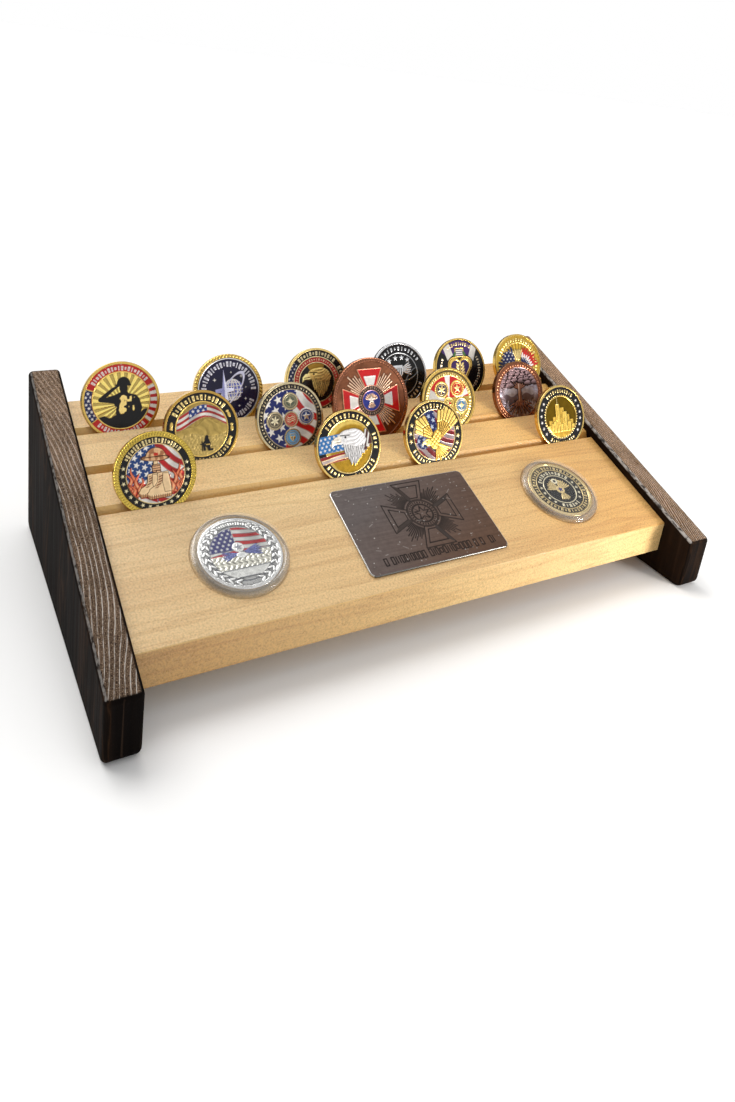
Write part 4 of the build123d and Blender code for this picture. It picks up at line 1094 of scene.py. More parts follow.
def face_silver_wreath(f):
    f.metal(f.circle(r=1.0), SILVER * 0.62, h=0.08, rough=0.28)
    f.metal(f.ring(0.955, 1.0), SILVER, h=0.3)
    f.marks(0.885, 0.075, 40, 140, 24, SILVER)
    f.enamel(f.ring(0.80, 0.83), lin(90, 94, 104))
    # two leafy sprays up the sides
    for sx in (-1, 1):
        for k in range(11):
            t = math.radians(-70 + sx * 0 + k * 13.0) if sx > 0 else math.radians(250 - k * 13.0)
            for r, o in ((0.83, 0.55), (0.915, -0.55)):
                d = f.ellipse(r * math.cos(t), r * math.sin(t), 0.085, 0.030, t + sx * (math.pi / 2 - o))
                f.metal(d - 0.008, STEEL * 0.4, h=0.16)
                f.metal(d, SILVER, h=0.30)
    inner = f.circle(r=0.765)
    f.metal(inner, lin(176, 176, 178), h=0.08, rough=0.3)
    f.canton(np.maximum.reduce([inner, f.X + 0.06, 0.10 - f.Y]), lin(70, 70, 120), pitch=0.11, size=0.045, dots=SILVER)
    f.bars(np.maximum.reduce([inner, -f.X - 0.04, 0.04 - f.Y]), pitch=0.115, rot=-0.10, wave=0.015, a=lin(184, 56, 62), b=lin(206, 206, 206), line=STEEL)
    f.bars(np.maximum.reduce([inner, f.X + 0.06, f.Y - 0.08, -0.12 - f.Y]), pitch=0.10, rot=0.12, a=lin(184, 56, 62), b=lin(206, 206, 206), line=STEEL)
    rows = np.maximum.reduce([inner, f.Y + 0.02, -0.46 - f.Y])
    m = np.clip(0.5 - rows / f.px, 0, 1)
    f.paint(rows, lin(206, 204, 196), 1.0, 0.18, 0.3)
    f.H += m * 0.14 * np.sin(f.X * 46 + 2 * np.sin(f.Y * 22)) * np.sin(f.Y * 26 + f.X * 3)
    # spread wings and a star over the middle
    f.fan(0.0, -0.02, 166, 204, 0.05, 0.50, 6, lin(110, 116, 168), metal=0.5)
    f.fan(0.0, -0.02, -16, 24, 0.05, 0.56, 6, lin(110, 116, 168), metal=0.5)
    f.metal(f.circle(-0.02, 0.16, 0.15), SILVER, h=0.34)
    f.metal(f.star(-0.02, 0.16, 0.12), lin(150, 150, 160), h=0.4)
    f.metal(f.ellipse(0.0, -0.08, 0.13, 0.09), SILVER, h=0.36)
    f.metal(np.maximum(inner, np.abs(f.Y + 0.58) - 0.115), lin(228, 228, 228), h=0.20, rough=0.18)
    f.metal(np.maximum(inner, np.abs(np.abs(f.Y + 0.58) - 0.125) - 0.012), STEEL, h=0.30)


def face_black_ring(f):
    g = lin(224, 200, 150)
    f.metal(f.circle(r=1.0), g * 0.7, h=0.08)
    f.metal(f.ring(0.955, 1.0), g, h=0.3)
    f.enamel(f.ring(0.79, 0.93), BLACK)
    f.marks(0.86, 0.10, 0, 358, 46, g)
    for a in range(0, 360, 60):
        f.enamel(f.arc(0.66, 0.80, a + 8, a + 30), BLACK)
    f.metal(f.ring(0.765, 0.79), g)
    f.enamel(f.ring(0.56, 0.75), BLACK)
    f.marks(0.655, 0.12, 30, 150, 12, lin(236, 226, 200))
    f.marks(0.655, 0.12, 238, 302, 6, lin(236, 226, 200))
    f.stars(0.655, 0.06, (166, 184, 202, 220, 14, -4, -22, -40), lin(236, 226, 200), metal=0.5)
    f.metal(f.ring(0.53, 0.56), lin(236, 226, 200))
    f.enamel(f.circle(r=0.53), lin(12, 11, 14))
    f.fan(0, -0.04, 100, 170, 0.08, 0.46, 7, g)
    f.fan(0, -0.04, 10, 80, 0.08, 0.46, 7, g)
    f.fan(0, -0.08, 235, 305, 0.06, 0.36, 6, g)
    f.metal(f.circle(0, -0.02, 0.15), g, h=0.38)
    f.enamel(f.star(0, -0.02, 0.11), lin(40, 40, 110), h=0.3)
    f.metal(f.circle(0.0, 0.32, 0.11), lin(236, 226, 200), h=0.36)
    f.enamel(f.circle(0.0, 0.32, 0.05), BLACK, h=0.3)


def face_back(f, metal):
    """The plain back of a coin: a compass star inside a plain ring."""
    f.metal(f.circle(r=1.0), metal * 0.8, h=0.08, rough=0.34)
    f.metal(f.ring(0.80, 0.83), metal, h=0.28)
    f.metal(f.star(0, 0, 0.62, n=4, inner=0.22), metal, h=0.30)
    f.metal(f.star(0, 0, 0.42, n=4, inner=0.30, rot=math.pi / 4), metal, h=0.22)
    f.metal(f.ring(0.20, 0.23), metal, h=0.32)


# ------------------------------------------------------------------ meshes
def add_mesh(name, verts, faces, mats, attrs=None, smooth=True, face_mats=None):
    me = bpy.data.meshes.new(name)
    verts = np.asarray(verts, np.float32)
    me.vertices.add(len(verts))
    me.vertices.foreach_set("co", verts.ravel())
    loops = np.concatenate([np.asarray(q, np.int32).ravel() for q in faces])
    sizes = np.concatenate([np.full(len(q), q.shape[1], np.int32) for q in faces])
    me.loops.add(len(loops))
    me.loops.foreach_set("vertex_index", loops)
    me.polygons.add(len(sizes))
    starts = np.concatenate([[0], np.cumsum(sizes)[:-1]]).astype(np.int32)
    me.polygons.foreach_set("loop_start", starts)
    me.polygons.foreach_set("use_smooth", np.full(len(sizes), smooth, bool))
    if face_mats is not None:
        me.polygons.foreach_set("material_index", np.asarray(face_mats, np.int32))
    me.update(calc_edges=True)
    for k, (kind, arr) in (attrs or {}).items():
        a = me.attributes.new(k, kind, "POINT")
        if kind == "FLOAT_COLOR":
            full = np.ones((len(verts), 4), np.float32)
            full[:, :3] = arr
            a.data.foreach_set("color", full.ravel())
        else:
            a.data.foreach_set("value", np.asarray(arr, np.float32).ravel())
    for m in mats:
        me.materials.append(m)
    me.validate()
    ob = bpy.data.objects.new(name, me)
    bpy.context.scene.collection.objects.link(ob)
    return ob


def grid_part(f, unit, z0, keep):
    """Vertices and quads of a drawn face where keep is true, at z0 + height, in mm, facing +z."""
    ok = keep
    idx = -np.ones(ok.shape, int)
    idx[ok] = np.arange(ok.sum())
    v = np.stack([f.X[ok] * unit, f.Y[ok] * unit, z0 + f.H[ok]], 1)
    a, b, c, d = idx[:-1, :-1], idx[:-1, 1:], idx[1:, 1:], idx[1:, :-1]
    q = np.stack([a, b, c, d], -1).reshape(-1, 4)
    q = q[(q >= 0).all(1)]
    return v, q, f.C[ok], f.M[ok], f.G[ok]


def lathe(profile, n, color, metal=1.0, rough=0.25, rope=None):
    """Turned ring from (r, z) points in mm.  rope = (turns, depth, lo, hi) twists the points lo to hi."""
    prof = np.asarray(profile, float)
    t = np.arange(n) / n * 2 * math.pi
    m = len(prof)
    R = np.repeat(prof[:, 0][:, None], n, 1)
    Z = np.repeat(prof[:, 1][:, None], n, 1)
    col = np.broadcast_to(color, (m, n, 3)).copy()
    if rope:
        turns, depth, lo, hi = rope
        for i in range(lo, hi):
            k = (i - lo) / max(1, hi - 1 - lo)
            wob = np.abs(np.sin(0.5 * (t * turns + k * 5.0)))
            fade = math.sin(math.pi * (k * 0.9 + 0.05))
            R[i] -= depth * (1 - wob) * fade * 0.5
            Z[i] -= depth * (1 - wob) * fade
            col[i] *= (1 - 0.75 * np.clip(1 - wob * 1.6, 0, 1) * fade)[:, None]
    V = np.stack([R * np.cos(t), R * np.sin(t), Z], -1).reshape(-1, 3)
    i = np.arange(m - 1)[:, None] * n
    j = np.arange(n)[None, :]
    jn = (j + 1) % n
    q = np.stack([i + j, i + n + j, i + n + jn, i + jn], -1).reshape(-1, 4)
    cnt = m * n
    return V, q, col.reshape(-1, 3), np.full(cnt, metal), np.full(cnt, rough)


def join_parts(parts):
    V, Q, C, M, G, off = [], [], [], [], [], 0
    for v, q, c, m, g in parts:
        V.append(v)
        Q.append(q + off)
        C.append(c)
        M.append(m)
        G.append(g)
        off += len(v)
    return np.concatenate(V), np.concatenate(Q), np.concatenate(C), np.concatenate(M), np.concatenate(G)


def coin_material(name, tint_seed):
    """Struck metal and enamel: colour, metalness and gloss come with the drawing, over a fine hammered and rubbed surface."""
    m, nt, p, out = mat_new(name)
    col = nd(nt, "ShaderNodeAttribute", {"attribute_name": "tint"})
    met = nd(nt, "ShaderNodeAttribute", {"attribute_name": "metalness"})
    rgh = nd(nt, "ShaderNodeAttribute", {"attribute_name": "gloss"})
    vec = coords(nt, (1, 1, 1), loc=(tint_seed * 0.13, 0, 0))
    blot = noise(nt, vec, 420.0, 3.0, 0.6)
    fine = noise(nt, vec, 5200.0, 2.0, 0.6)
    shade = ramp(nt, blot, [(0.3, (0.86,) * 3), (0.7, (1.06,) * 3)])
    nt.links.new(mix(nt, 1.0, col.outputs["Color"], shade, "MULTIPLY"), p.inputs["Base Color"])
    nt.links.new(met.outputs["Fac"], p.inputs["Metallic"])
    nt.links.new(math_(nt, "ADD", rgh.outputs["Fac"], math_(nt, "MULTIPLY", math_(nt, "SUBTRACT", blot, 0.5), 0.16)), p.inputs["Roughness"])
    nt.links.new(bump(nt, fine, 0.25, 0.00003), p.inputs["Normal"])
    p.inputs["Specular IOR Level"].default_value = 0.3
    return m


def place(ob, centre, xd, yd, zd):
    m = Matrix(((xd.x, yd.x, zd.x, centre.x), (xd.y, yd.y, zd.y, centre.y), (xd.z, yd.z, zd.z, centre.z), (0, 0, 0, 1)))
    sc = Matrix.Diagonal((MM, MM, MM, 1))
    ob.data.transform(m @ sc)
    ob.data.update()


RIM_H = 0.35


def build_coin(node, draw, rim_w, metal, rope=None, edge_color=None, t=3.0, r=None, axes=None, seed=0, rim_rough=0.2, cell=0.23, piece=None):
    lo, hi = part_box(node)
    centre = (Vector(lo) + Vector(hi)) / 2
    if r is None:
        r = (hi[0] - lo[0]) / 2 / MM
    xd, yd, zd = axes or (Vector((1, 0, 0)), UPC, FACE)
    rf = r - rim_w
    f = Face(1.0, 1.0, rf + 0.15, cell, metal, 1.0, height=0.08)
    draw(f)
    f.age()
    f.H = np.clip(f.H, 0.0, RIM_H + 0.05)
    front = grid_part(f, rf + 0.15, t / 2 - RIM_H - 0.05, f.R <= 1.0)
    b = Face(1.0, 1.0, r - 1.4 + 0.15, 0.55, metal, 1.0)
    face_back(b, metal)
    b.age()
    back = grid_part(b, r - 1.4 + 0.15, t / 2 - RIM_H - 0.05, b.R <= 1.0)
    back = (back[0] * np.array([1, -1, -1]), back[1], back[2], back[3], back[4])
    h = t / 2
    w = rim_w
    prof = [(rf, h - RIM_H - 0.02), (rf + 0.06, h - 0.10), (rf + 0.16, h - 0.02), (rf + 0.22, h)]
    a0 = len(prof)
    steps = 7 if rope else 3
    for k in range(steps + 1):
        u = k / steps
        bulge = 0.0 if not rope else -0.12 * (2 * u - 1) ** 2
        prof.append((rf + 0.24 + (w - 0.24 - 0.34) * u, h + bulge))
    a1 = len(prof)
    prof += [(r - 0.24, h - 0.03), (r - 0.12, h - 0.09), (r - 0.04, h - 0.20), (r, h - 0.34), (r, h - 0.5), (r, 0), (r, -h + 0.5), (r, -h + 0.34), (r - 0.04, -h + 0.20), (r - 0.12, -h + 0.09), (r - 0.30, -h)]
    prof += [(r - 1.30, -h), (r - 1.36, -h + 0.06), (r - 1.4, -h + RIM_H + 0.02)]
    n = 288 if rope else 160
    ring = lathe(prof, n, metal if edge_color is None else edge_color, 1.0, rim_rough, (rope[0], rope[1], a0 - 1, a1 + 2) if rope else None)
    V, Q, C, M, G = join_parts([front, back, ring])
    ob = add_mesh(piece or (node + "_struck"), V, [Q], [coin_material("struck_" + node, seed)], {"tint": ("FLOAT_COLOR", C), "metalness": ("FLOAT", M), "gloss": ("FLOAT", G)})
    place(ob, centre, xd, yd, zd)
    return ob


BODY_OF = {n: b for b, ns in frame["record"]["behaviour"]["bodies"].items() for n in ns}

COINS = [
    ("coin_back_1_silhouette", face_silhouette, 1.5, GOLD, None, "coin_gold"),
    ("coin_back_2_planet", face_planet, 2.1, GOLD, (60, 0.30), "coin_gold"),
    ("coin_back_3_bird_head", face_bird_head, 1.4, lin(240, 210, 136), None, "coin_gold"),
    ("coin_back_4_black_star", face_black_star, 1.3, SILVER, None, "coin_silver"),
    ("coin_back_5_heart", face_heart, 1.2, GOLD, None, "coin_gold"),
    ("coin_back_6_winged", face_winged, 1.3, GOLD, None, "coin_gold"),
    ("coin_middle_1_relief_flag", face_relief_flag, 1.4, lin(196, 158, 82), None, "coin_gold"),
    ("coin_middle_2_five_medallions", face_five, 1.3, lin(206, 190, 152), None, "coin_gold"),
    ("coin_middle_3_large_cross", face_cross, 2.4, COPPER, (90, 0.26), "coin_bronze"),
    ("coin_middle_4_branches", face_branches, 1.3, GOLD, None, "coin_gold"),
    ("coin_middle_5_tree", face_tree, 1.3, lin(138, 90, 64), None, "coin_copper"),
    ("coin_front_1_rope_rim", face_rope_rim, 2.7, lin(212, 182, 84), (84, 0.30), "coin_gold"),
    ("coin_front_2_white_bird", face_white_bird, 1.2, lin(226, 194, 118), None, "coin_gold"),
    ("coin_front_3_gold_bird", face_gold_bird, 1.2, lin(226, 194, 118), None, "coin_gold"),
    ("coin_front_4_skyline", face_skyline, 1.3, lin(226, 194, 118), None, "coin_gold"),
]
for i, (node, draw, rim, metal, rope, slot) in enumerate(COINS):
    ob = build_coin(node, draw, rim, metal, rope, seed=i)
    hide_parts(node)
    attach(ob, BODY_OF[node])

XD = Vector((1, 0, 0))
for side, draw, metal, slot, seed in (("left", face_silver_wreath, SILVER, "coin_silver", 20), ("right", face_black_ring, lin(214, 190, 140), "coin_gold", 21)):
    node = "capsule_coin_" + side
    ob = build_coin(node, draw, 1.4, metal, t=2.3, axes=(XD, SV, SN), seed=seed)
    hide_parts(node)
    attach(ob, BODY_OF[node])


# ------------------------------------------------------------------ capsules
def clear_window(name):
    """The flat faces: seen straight through, with a gloss that grows towards grazing."""
    m, nt, p, out = mat_new(name)
    nt.nodes.remove(p)
    tr = nt.nodes.new("ShaderNodeBsdfTransparent")
    tr.inputs[0].default_value = (0.975, 0.975, 0.965, 1)
    gl = nt.nodes.new("ShaderNodeBsdfAnisotropic")
    gl.inputs["Color"].default_value = (1, 1, 1, 1)
    v = noise(nt, coords(nt, (1, 1, 1)), 340.0, 3.0)
    nt.links.new(ramp(nt, v, [(0.3, (0.03,) * 3), (0.8, (0.14,) * 3)]), gl.inputs["Roughness"])
    fr = nt.nodes.new("ShaderNodeFresnel")
    fr.inputs["IOR"].default_value = 1.42
    mx = nt.nodes.new("ShaderNodeMixShader")
    geo = nt.nodes.new("ShaderNodeNewGeometry")
    nt.links.new(math_(nt, "MULTIPLY", fr.outputs[0], math_(nt, "SUBTRACT", 0.7, math_(nt, "MULTIPLY", geo.outputs["Backfacing"], 0.7))), mx.inputs[0])
    nt.links.new(tr.outputs[0], mx.inputs[1])
    nt.links.new(gl.outputs[0], mx.inputs[2])
    nt.links.new(mx.outputs[0], out.inputs[0])
    return m


def clear_ring(name, tint):
    """The moulded ring outside the coin: clear, with crisp bright edges."""
    m, nt, p, out = mat_new(name)
    nt.nodes.remove(p)
    tr = nt.nodes.new("ShaderNodeBsdfTransparent")
    tr.inputs[0].default_value = tuple(tint) + (1.0,)
    gl = nt.nodes.new("ShaderNodeBsdfAnisotropic")
    gl.inputs["Color"].default_value = (1, 1, 1, 1)
    v = noise(nt, coords(nt, (1, 1, 1)), 260.0, 2.0)
    nt.links.new(ramp(nt, v, [(0.3, (0.02,) * 3), (0.8, (0.10,) * 3)]), gl.inputs["Roughness"])
    fr = nt.nodes.new("ShaderNodeFresnel")
    fr.inputs["IOR"].default_value = 1.49
    geo = nt.nodes.new("ShaderNodeNewGeometry")
    outside = math_(nt, "SUBTRACT", 1.0, geo.outputs["Backfacing"])
    fac = math_(nt, "MULTIPLY", math_(nt, "ADD", math_(nt, "MULTIPLY", fr.outputs[0], 0.6), 0.02), outside)
    # a trace of moulding haze
    haze = nt.nodes.new("ShaderNodeBsdfDiffuse")
    haze.inputs["Color"].default_value = (0.95, 0.88, 0.78, 1)
    hz = nt.nodes.new("ShaderNodeMixShader")
    nt.links.new(math_(nt, "MULTIPLY", outside, 0.08), hz.inputs[0])
    nt.links.new(tr.outputs[0], hz.inputs[1])
    nt.links.new(haze.outputs[0], hz.inputs[2])
    mx = nt.nodes.new("ShaderNodeMixShader")
    nt.links.new(fac, mx.inputs[0])
    nt.links.new(hz.outputs[0], mx.inputs[1])
    nt.links.new(gl.outputs[0], mx.inputs[2])
    nt.links.new(mx.outputs[0], out.inputs[0])
    return m


CAP_R, CAP_H, FLOOR, WALL, SPLIT, LIP, POCKET = 23.3, 4.7, 1.25, 1.0, 2.6, 21.6, 20.3
for side, tint in (("left", (0.985, 0.985, 0.98)), ("right", (0.985, 0.98, 0.965))):
    nb, nl = "capsule_base_" + side, "capsule_lid_" + side
    lo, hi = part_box("capsule_coin_" + side)
    # the coin rests on the base's floor, so the capsule's underside lies one floor below it
    o = (Vector(lo) + Vector(hi)) / 2 - SN * ((1.15 + FLOOR) * MM)
    mats = [clear_window("acrylic_face_" + side), clear_ring("acrylic_ring_" + side, tint)]
    base = [(0.02, 0.0), (12.0, 0.0), (20.2, 0.0), (21.8, 0.0), (22.6, 0.10), (23.1, 0.35), (CAP_R, 0.7), (CAP_R, 2.1), (23.15, 2.4), (22.9, SPLIT - 0.03),
            (LIP + 0.06, SPLIT - 0.03), (LIP, SPLIT + 0.05), (LIP, 3.42), (LIP - 0.10, 3.56), (LIP - 0.24, 3.60), (POCKET + 0.24, 3.60),
            (POCKET + 0.08, 3.54), (POCKET, 3.40), (POCKET, FLOOR + 0.2), (POCKET - 0.06, FLOOR + 0.05), (POCKET - 0.2, FLOOR - 0.01), (12.0, FLOOR - 0.01), (0.02, FLOOR - 0.01)]
    H = CAP_H
    lid = [(0.02, H), (12.0, H), (19.4, H), (19.75, H - 0.05), (20.0, H - 0.20), (20.3, H - 0.28), (20.8, H - 0.28), (21.15, H - 0.10), (21.5, H - 0.06), (22.2, H - 0.12), (22.8, H - 0.34), (23.15, H - 0.70), (CAP_R, H - 1.1), (CAP_R, 3.0), (23.15, 2.75), (22.9, SPLIT + 0.03),
           (LIP + 0.16, SPLIT + 0.03), (LIP + 0.10, SPLIT + 0.12), (LIP + 0.10, H - WALL - 0.15), (LIP - 0.05, H - WALL), (19.4, H - WALL), (12.0, H - WALL), (0.02, H - WALL)]
    n = 144
    for node, prof in ((nb, base), (nl, lid[::-1])):
        V, Q, C, M, G = lathe(prof, n, (1, 1, 1))
        m = len(prof)
        # on the base only the disc under the coin is window; the lid's whole middle is
        ring = [0 if max(prof[i][0], prof[i + 1][0]) < 19.6 else 1 for i in range(m - 1)]
        which = np.concatenate([np.repeat(ring, n), [0, 0]])
        capa = np.arange(n)[None, ::-1]
        capb = (np.arange(n) + (m - 1) * n)[None, :]
        ob = add_mesh(node + "_turned", V, [Q, capa, capb], mats, face_mats=which)
        place(ob, o, XD, SV, SN)
        bm = bmesh.new()
        bm.from_mesh(ob.data)
        bmesh.ops.recalc_face_normals(bm, faces=bm.faces)
        bm.to_mesh(ob.data)
        bm.free()
        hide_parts(node)
        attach(ob, BODY_OF[node])


# ------------------------------------------------------------------ plaque
def build_plaque():
    lo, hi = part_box("card_plaque")
    w, hgt, t = 84.4, 54.4, 1.2
    mid = (Vector(lo) + Vector(hi)) / 2
    U = 27.2
    cell = 0.26
    f = Face(w / 2 / U, hgt / 2 / U, U, cell, lin(124, 116, 113), 1.0, height=0.0, rough=0.42)
    ax, ay = w / 2 / U, hgt / 2 / U
    # browner towards the right and the front: a painted reflection
    k = np.clip(0.45 + 0.38 * f.X / ax - 0.28 * f.Y / ay + 0.25 * (value_noise(f.X, f.Y, 1.6, 3) - 0.5), 0, 1)[..., None]
    f.C = lin(104, 96, 94) * (1 - k) + lin(104, 80, 66) * k
    f.C *= (0.90 + 0.20 * value_noise(f.X * 0.3, f.Y * 14, 3.0, 9))[..., None]
    # engraved compass star with rays in a double ring, no lettering
    cx, cy = 0.14, 0.12
    dark = lin(30, 25, 23)

    def cut(sd, c=dark, d=-0.07):
        f.paint(sd, c, 0.6, d, 0.6, soft=1.3)
    lw = 0.0115
    for q in range(4):
        t0 = math.pi / 4 + q * math.pi / 2
        for j in range(-5, 6):
            a = t0 + j * 0.062
            r1 = 0.80 - 0.040 * abs(j) - (0.07 if j % 2 else 0)
            cut(f.seg(cx + 0.38 * math.cos(a), cy + 0.38 * math.sin(a), cx + r1 * math.cos(a), cy + r1 * math.sin(a), lw * 0.9))
    for q in range(4):
        turn = q * math.pi / 2
        c, s = math.cos(turn), math.sin(turn)
        tr = lambda pts: [(cx + x * c - y * s, cy + x * s + y * c) for x, y in pts]
        for arm in ([(0.26, 0.115), (0.78, 0.34), (0.78, -0.34), (0.26, -0.115)], [(0.38, 0.085), (0.68, 0.215), (0.68, -0.215), (0.38, -0.085)]):
            cut(np.maximum(np.abs(f.poly(tr(arm))) - lw, -f.circle(cx, cy, 0.33)))
        cut(np.maximum(f.poly(tr([(0.26, 0.115), (0.78, 0.34), (0.68, 0.215), (0.38, 0.085)])), -f.circle(cx, cy, 0.33)), lin(66, 57, 53), -0.03)
    for r in (0.33, 0.305, 0.225, 0.205):
        cut(np.abs(f.circle(cx, cy, r)) - lw * 0.8)
    an = np.arctan2(f.Y - cy, f.X - cx)
    rr = np.hypot(f.X - cx, f.Y - cy)
    cut(np.maximum(np.abs(rr - 0.265) - 0.018, 0.010 - 0.03 * (np.sin(an * 30) > 0.1)))
    cut(np.abs(f.star(cx, cy, 0.17)) - lw)
    for j in range(8):
        a = j * math.pi / 4
        cut(f.seg(cx + 0.11 * math.cos(a), cy + 0.11 * math.sin(a), cx + 0.19 * math.cos(a), cy + 0.19 * math.sin(a), lw * 0.6))
    # a row of plain bars and dots where the real one carries words
    r = np.random.default_rng(21)
    x, y0, hh = -1.17, -0.765, 0.076
    while x < 1.36:
        bw = float(r.choice([0.030, 0.030, 0.012, 0.024]))
        gap = 0.020
        if r.random() < 0.10:
            x += 0.06
            continue
        box = f.box(x + bw, y0, bw, hh * (0.62 if bw > 0.029 and r.random() < 0.25 else 1.0))
        cut(np.abs(box) - lw * 1.05 if bw > 0.02 else box, lin(30, 24, 22))
        x += 2 * bw + gap + 0.012
    # pale dust and small scratches
    r = np.random.default_rng(12)
    for _ in range(46):
        x, y = r.uniform(-ax, ax), r.uniform(-ay, ay)
        a = r.normal(0.15, 0.5)
        l = abs(r.normal(0, 0.05)) + 0.006
        f.paint(f.seg(x, y, x + l * math.cos(a), y + l * math.sin(a), 0.0035), lin(196, 190, 184), 0.7, None, 0.5, soft=1.2, amount=0.6)
    for _ in range(60):
        f.paint(f.circle(r.uniform(-ax, ax), r.uniform(-ay, ay), r.uniform(0.003, 0.009)), lin(226, 222, 216), 0.3, None, 0.6, soft=1.2, amount=0.85)
    sd = np.maximum(np.abs(f.X) - ax + 0.12, 0), np.maximum(np.abs(f.Y) - ay + 0.12, 0)
    corner = np.hypot(*sd) - 0.12
    out = np.maximum(corner, np.maximum(np.abs(f.X) - ax, np.abs(f.Y) - ay))
    bevel = out > -0.020
    bright = lin(226, 224, 220)
    # a bright metal border along the outline, kept off the front edge: painted shade there
    f.paint(np.maximum(-(out + 0.016), 0.03 - ay - f.Y), bright, 1.0, None, 0.25)
    # the sheet itself, then its chamfered edge as a swept outline
    keep = out < -0.012
    V, Q, C, M, G = grid_part(f, U, t / 2, keep)
    pts = []
    rad = 3.2
    for qx, qy, a0 in ((1, 1, 0), (-1, 1, 90), (-1, -1, 180), (1, -1, 270)):
        for i in range(13):
            a = math.radians(a0 + i * 7.5)
            pts.append((qx * (w / 2 - rad), qy * (hgt / 2 - rad), math.cos(a), math.sin(a)))
    P = np.array(pts)
    rings = []
    for off, z in ((rad - 0.55, t / 2 - 0.004), (rad - 0.36, t / 2 - 0.002), (rad - 0.30, t / 2 - 0.02), (rad - 0.04, t / 2 - 0.28), (rad, t / 2 - 0.34), (rad, -t / 2 + 0.1), (rad - 0.1, -t / 2), (0.2, -t / 2)):
        rings.append(np.stack([P[:, 0] + P[:, 2] * off, P[:, 1] + P[:, 3] * off, np.full(len(P), z)], 1))
    RV = np.concatenate(rings)
    n = len(P)
    i = np.arange(len(rings) - 1)[:, None] * n
    j = np.arange(n)[None, :]
    RQ = np.stack([i + j, i + n + j, i + n + (j + 1) % n, i + (j + 1) % n], -1).reshape(-1, 4)
    RC = np.broadcast_to(bright, (len(RV), 3)).copy()
    # the front edge is painted darker than the other three: painted shade
    RC *= np.tile(np.where(P[:, 3:4] < -0.85, 0.22, 1.0), (len(rings), 1))
    RC[: n] = lin(110, 98, 92)
    RG = np.full(len(RV), 0.22)
    off = len(V)
    V2, Q2 = np.concatenate([V, RV]), np.concatenate([Q, RQ + off])
    bottom = (np.arange(n) + off + (len(rings) - 1) * n)[None, :]
    C2 = np.concatenate([C, RC])
    M2 = np.concatenate([M, np.ones(len(RV))])
    G2 = np.concatenate([G, RG])
    ob = add_mesh("card_plaque_engraved", V2, [Q2, bottom], [coin_material("anodised_plate", 40)], {"tint": ("FLOAT_COLOR", C2), "metalness": ("FLOAT", M2), "gloss": ("FLOAT", G2)})
    place(ob, mid, XD, SV, SN)
    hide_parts("card_plaque")
    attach(ob, "rack")
    return ob


build_plaque()

# ------------------------------------------------------------------ wood on the CAD nodes
M_MAPLE, M_BEECH = maple(), beech()


def coat(node, material):
    ob = NODES[node]
    ob.data.materials.clear()
    ob.data.materials.append(material)


coat("deck_board", M_MAPLE)
coat("left_side_panel", espresso(-1, 1))
coat("right_side_panel", espresso(1, 2))
for n in ("dowel_left_front", "dowel_left_back", "dowel_right_front", "dowel_right_back"):
    coat(n, M_BEECH)

# ------------------------------------------------------------------ floor and light
fm, fnt, fp, fo = mat_new("pale_floor")
fp.inputs["Base Color"].default_value = (0.94, 0.94, 0.94, 1)
fp.inputs["Roughness"].default_value = 0.9
fp.inputs["Specular IOR Level"].default_value = 0.1
S = 30.0
fl = add_mesh("floor", [(-S, -S, 0), (S, -S, 0), (S, S, 0), (-S, S, 0)], [np.array([[0, 1, 2, 3]])], [fm], smooth=False)

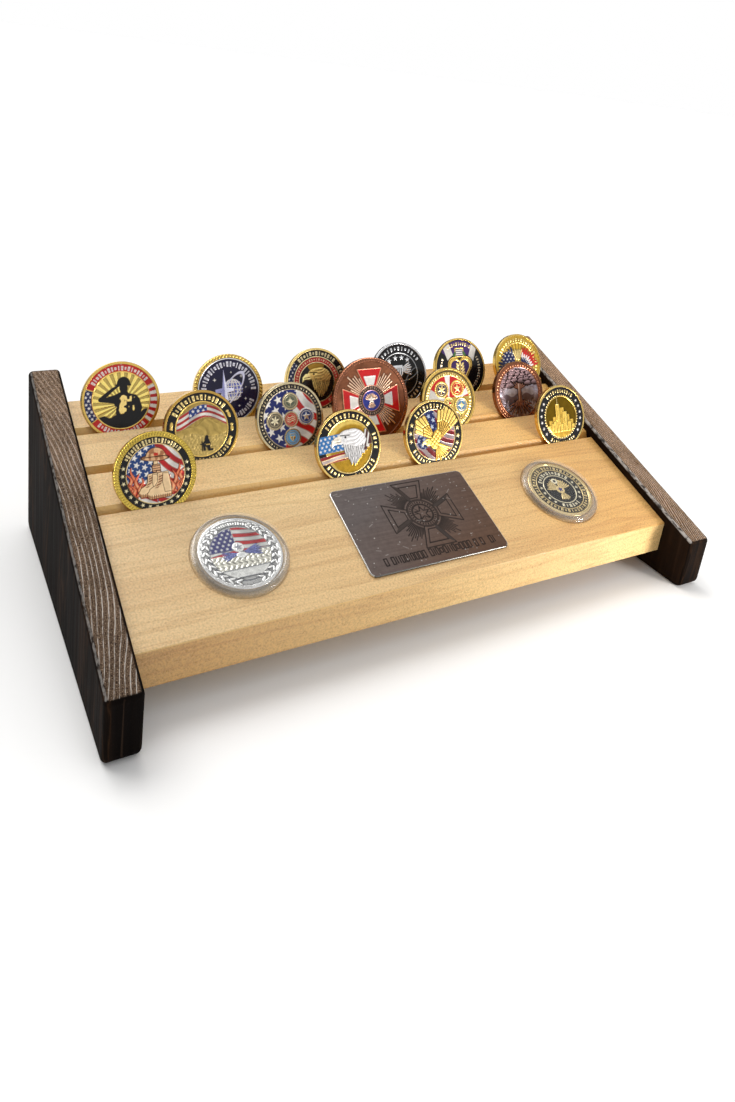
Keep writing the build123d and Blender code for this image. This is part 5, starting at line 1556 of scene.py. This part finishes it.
world = bpy.data.worlds.new("studio")
bpy.context.scene.world = world
world.use_nodes = True
wn = world.node_tree
bg = wn.nodes["Background"]
tc = wn.nodes.new("ShaderNodeTexCoord")
sx = wn.nodes.new("ShaderNodeSeparateXYZ")
wn.links.new(tc.outputs["Generated"], sx.inputs[0])
up = ramp(wn, math_(wn, "ADD", math_(wn, "MULTIPLY", sx.outputs[2], 0.5), 0.5), [(0.50, (WORLD_LOW,) * 3), (0.62, (WORLD_LOW,) * 3), (0.80, (WORLD_MID,) * 3), (1.0, (WORLD_TOP,) * 3)])
total = up
for towards, lo, hi, level in SOFT_PATCHES:
    dn = wn.nodes.new("ShaderNodeVectorMath")
    dn.operation = "DOT_PRODUCT"
    wn.links.new(tc.outputs["Generated"], dn.inputs[0])
    dn.inputs[1].default_value = tuple(Vector(towards).normalized())
    mr = wn.nodes.new("ShaderNodeMapRange")
    mr.interpolation_type = "SMOOTHSTEP"
    mr.inputs["From Min"].default_value = lo
    mr.inputs["From Max"].default_value = hi
    mr.inputs["To Max"].default_value = level
    wn.links.new(dn.outputs["Value"], mr.inputs[0])
    total = math_(wn, "ADD", total, mr.outputs[0])
lp = wn.nodes.new("ShaderNodeLightPath")
wn.links.new(mix(wn, lp.outputs["Is Camera Ray"], total, (1.0, 1.0, 1.0)), bg.inputs[0])
bg.inputs[1].default_value = 1.0


def area(name, loc, target, size, power, color=(1, 1, 1), size_y=None):
    l = bpy.data.lights.new(name, "AREA")
    l.energy = power
    l.color = color
    l.size = size
    if size_y:
        l.shape = "RECTANGLE"
        l.size_y = size_y
    o = bpy.data.objects.new(name, l)
    d = Vector(target) - Vector(loc)
    o.rotation_euler = d.to_track_quat("-Z", "Y").to_euler()
    o.location = loc
    bpy.context.scene.collection.objects.link(o)
    return o


def sun(name, towards, strength, angle, color):
    l = bpy.data.lights.new(name, "SUN")
    l.energy = strength
    l.angle = math.radians(angle)
    l.color = color
    o = bpy.data.objects.new(name, l)
    o.rotation_euler = (-Vector(towards)).to_track_quat("-Z", "Y").to_euler()
    o.location = Vector(towards) * 2.0
    bpy.context.scene.collection.objects.link(o)
    return o


sun("soft_key", (-0.25, 0.55, 0.80), 1.82, 45, (1.0, 0.985, 0.96))
front_low = area("front_low", (0.32, -0.40, 0.06), (0.17, -0.08, 0.01), 0.11, 0.30, (1.0, 0.97, 0.93))
front_low.data.spread = math.radians(70)

bpy.context.scene.view_settings.view_transform = "Standard"
bpy.context.scene.view_settings.look = "None"
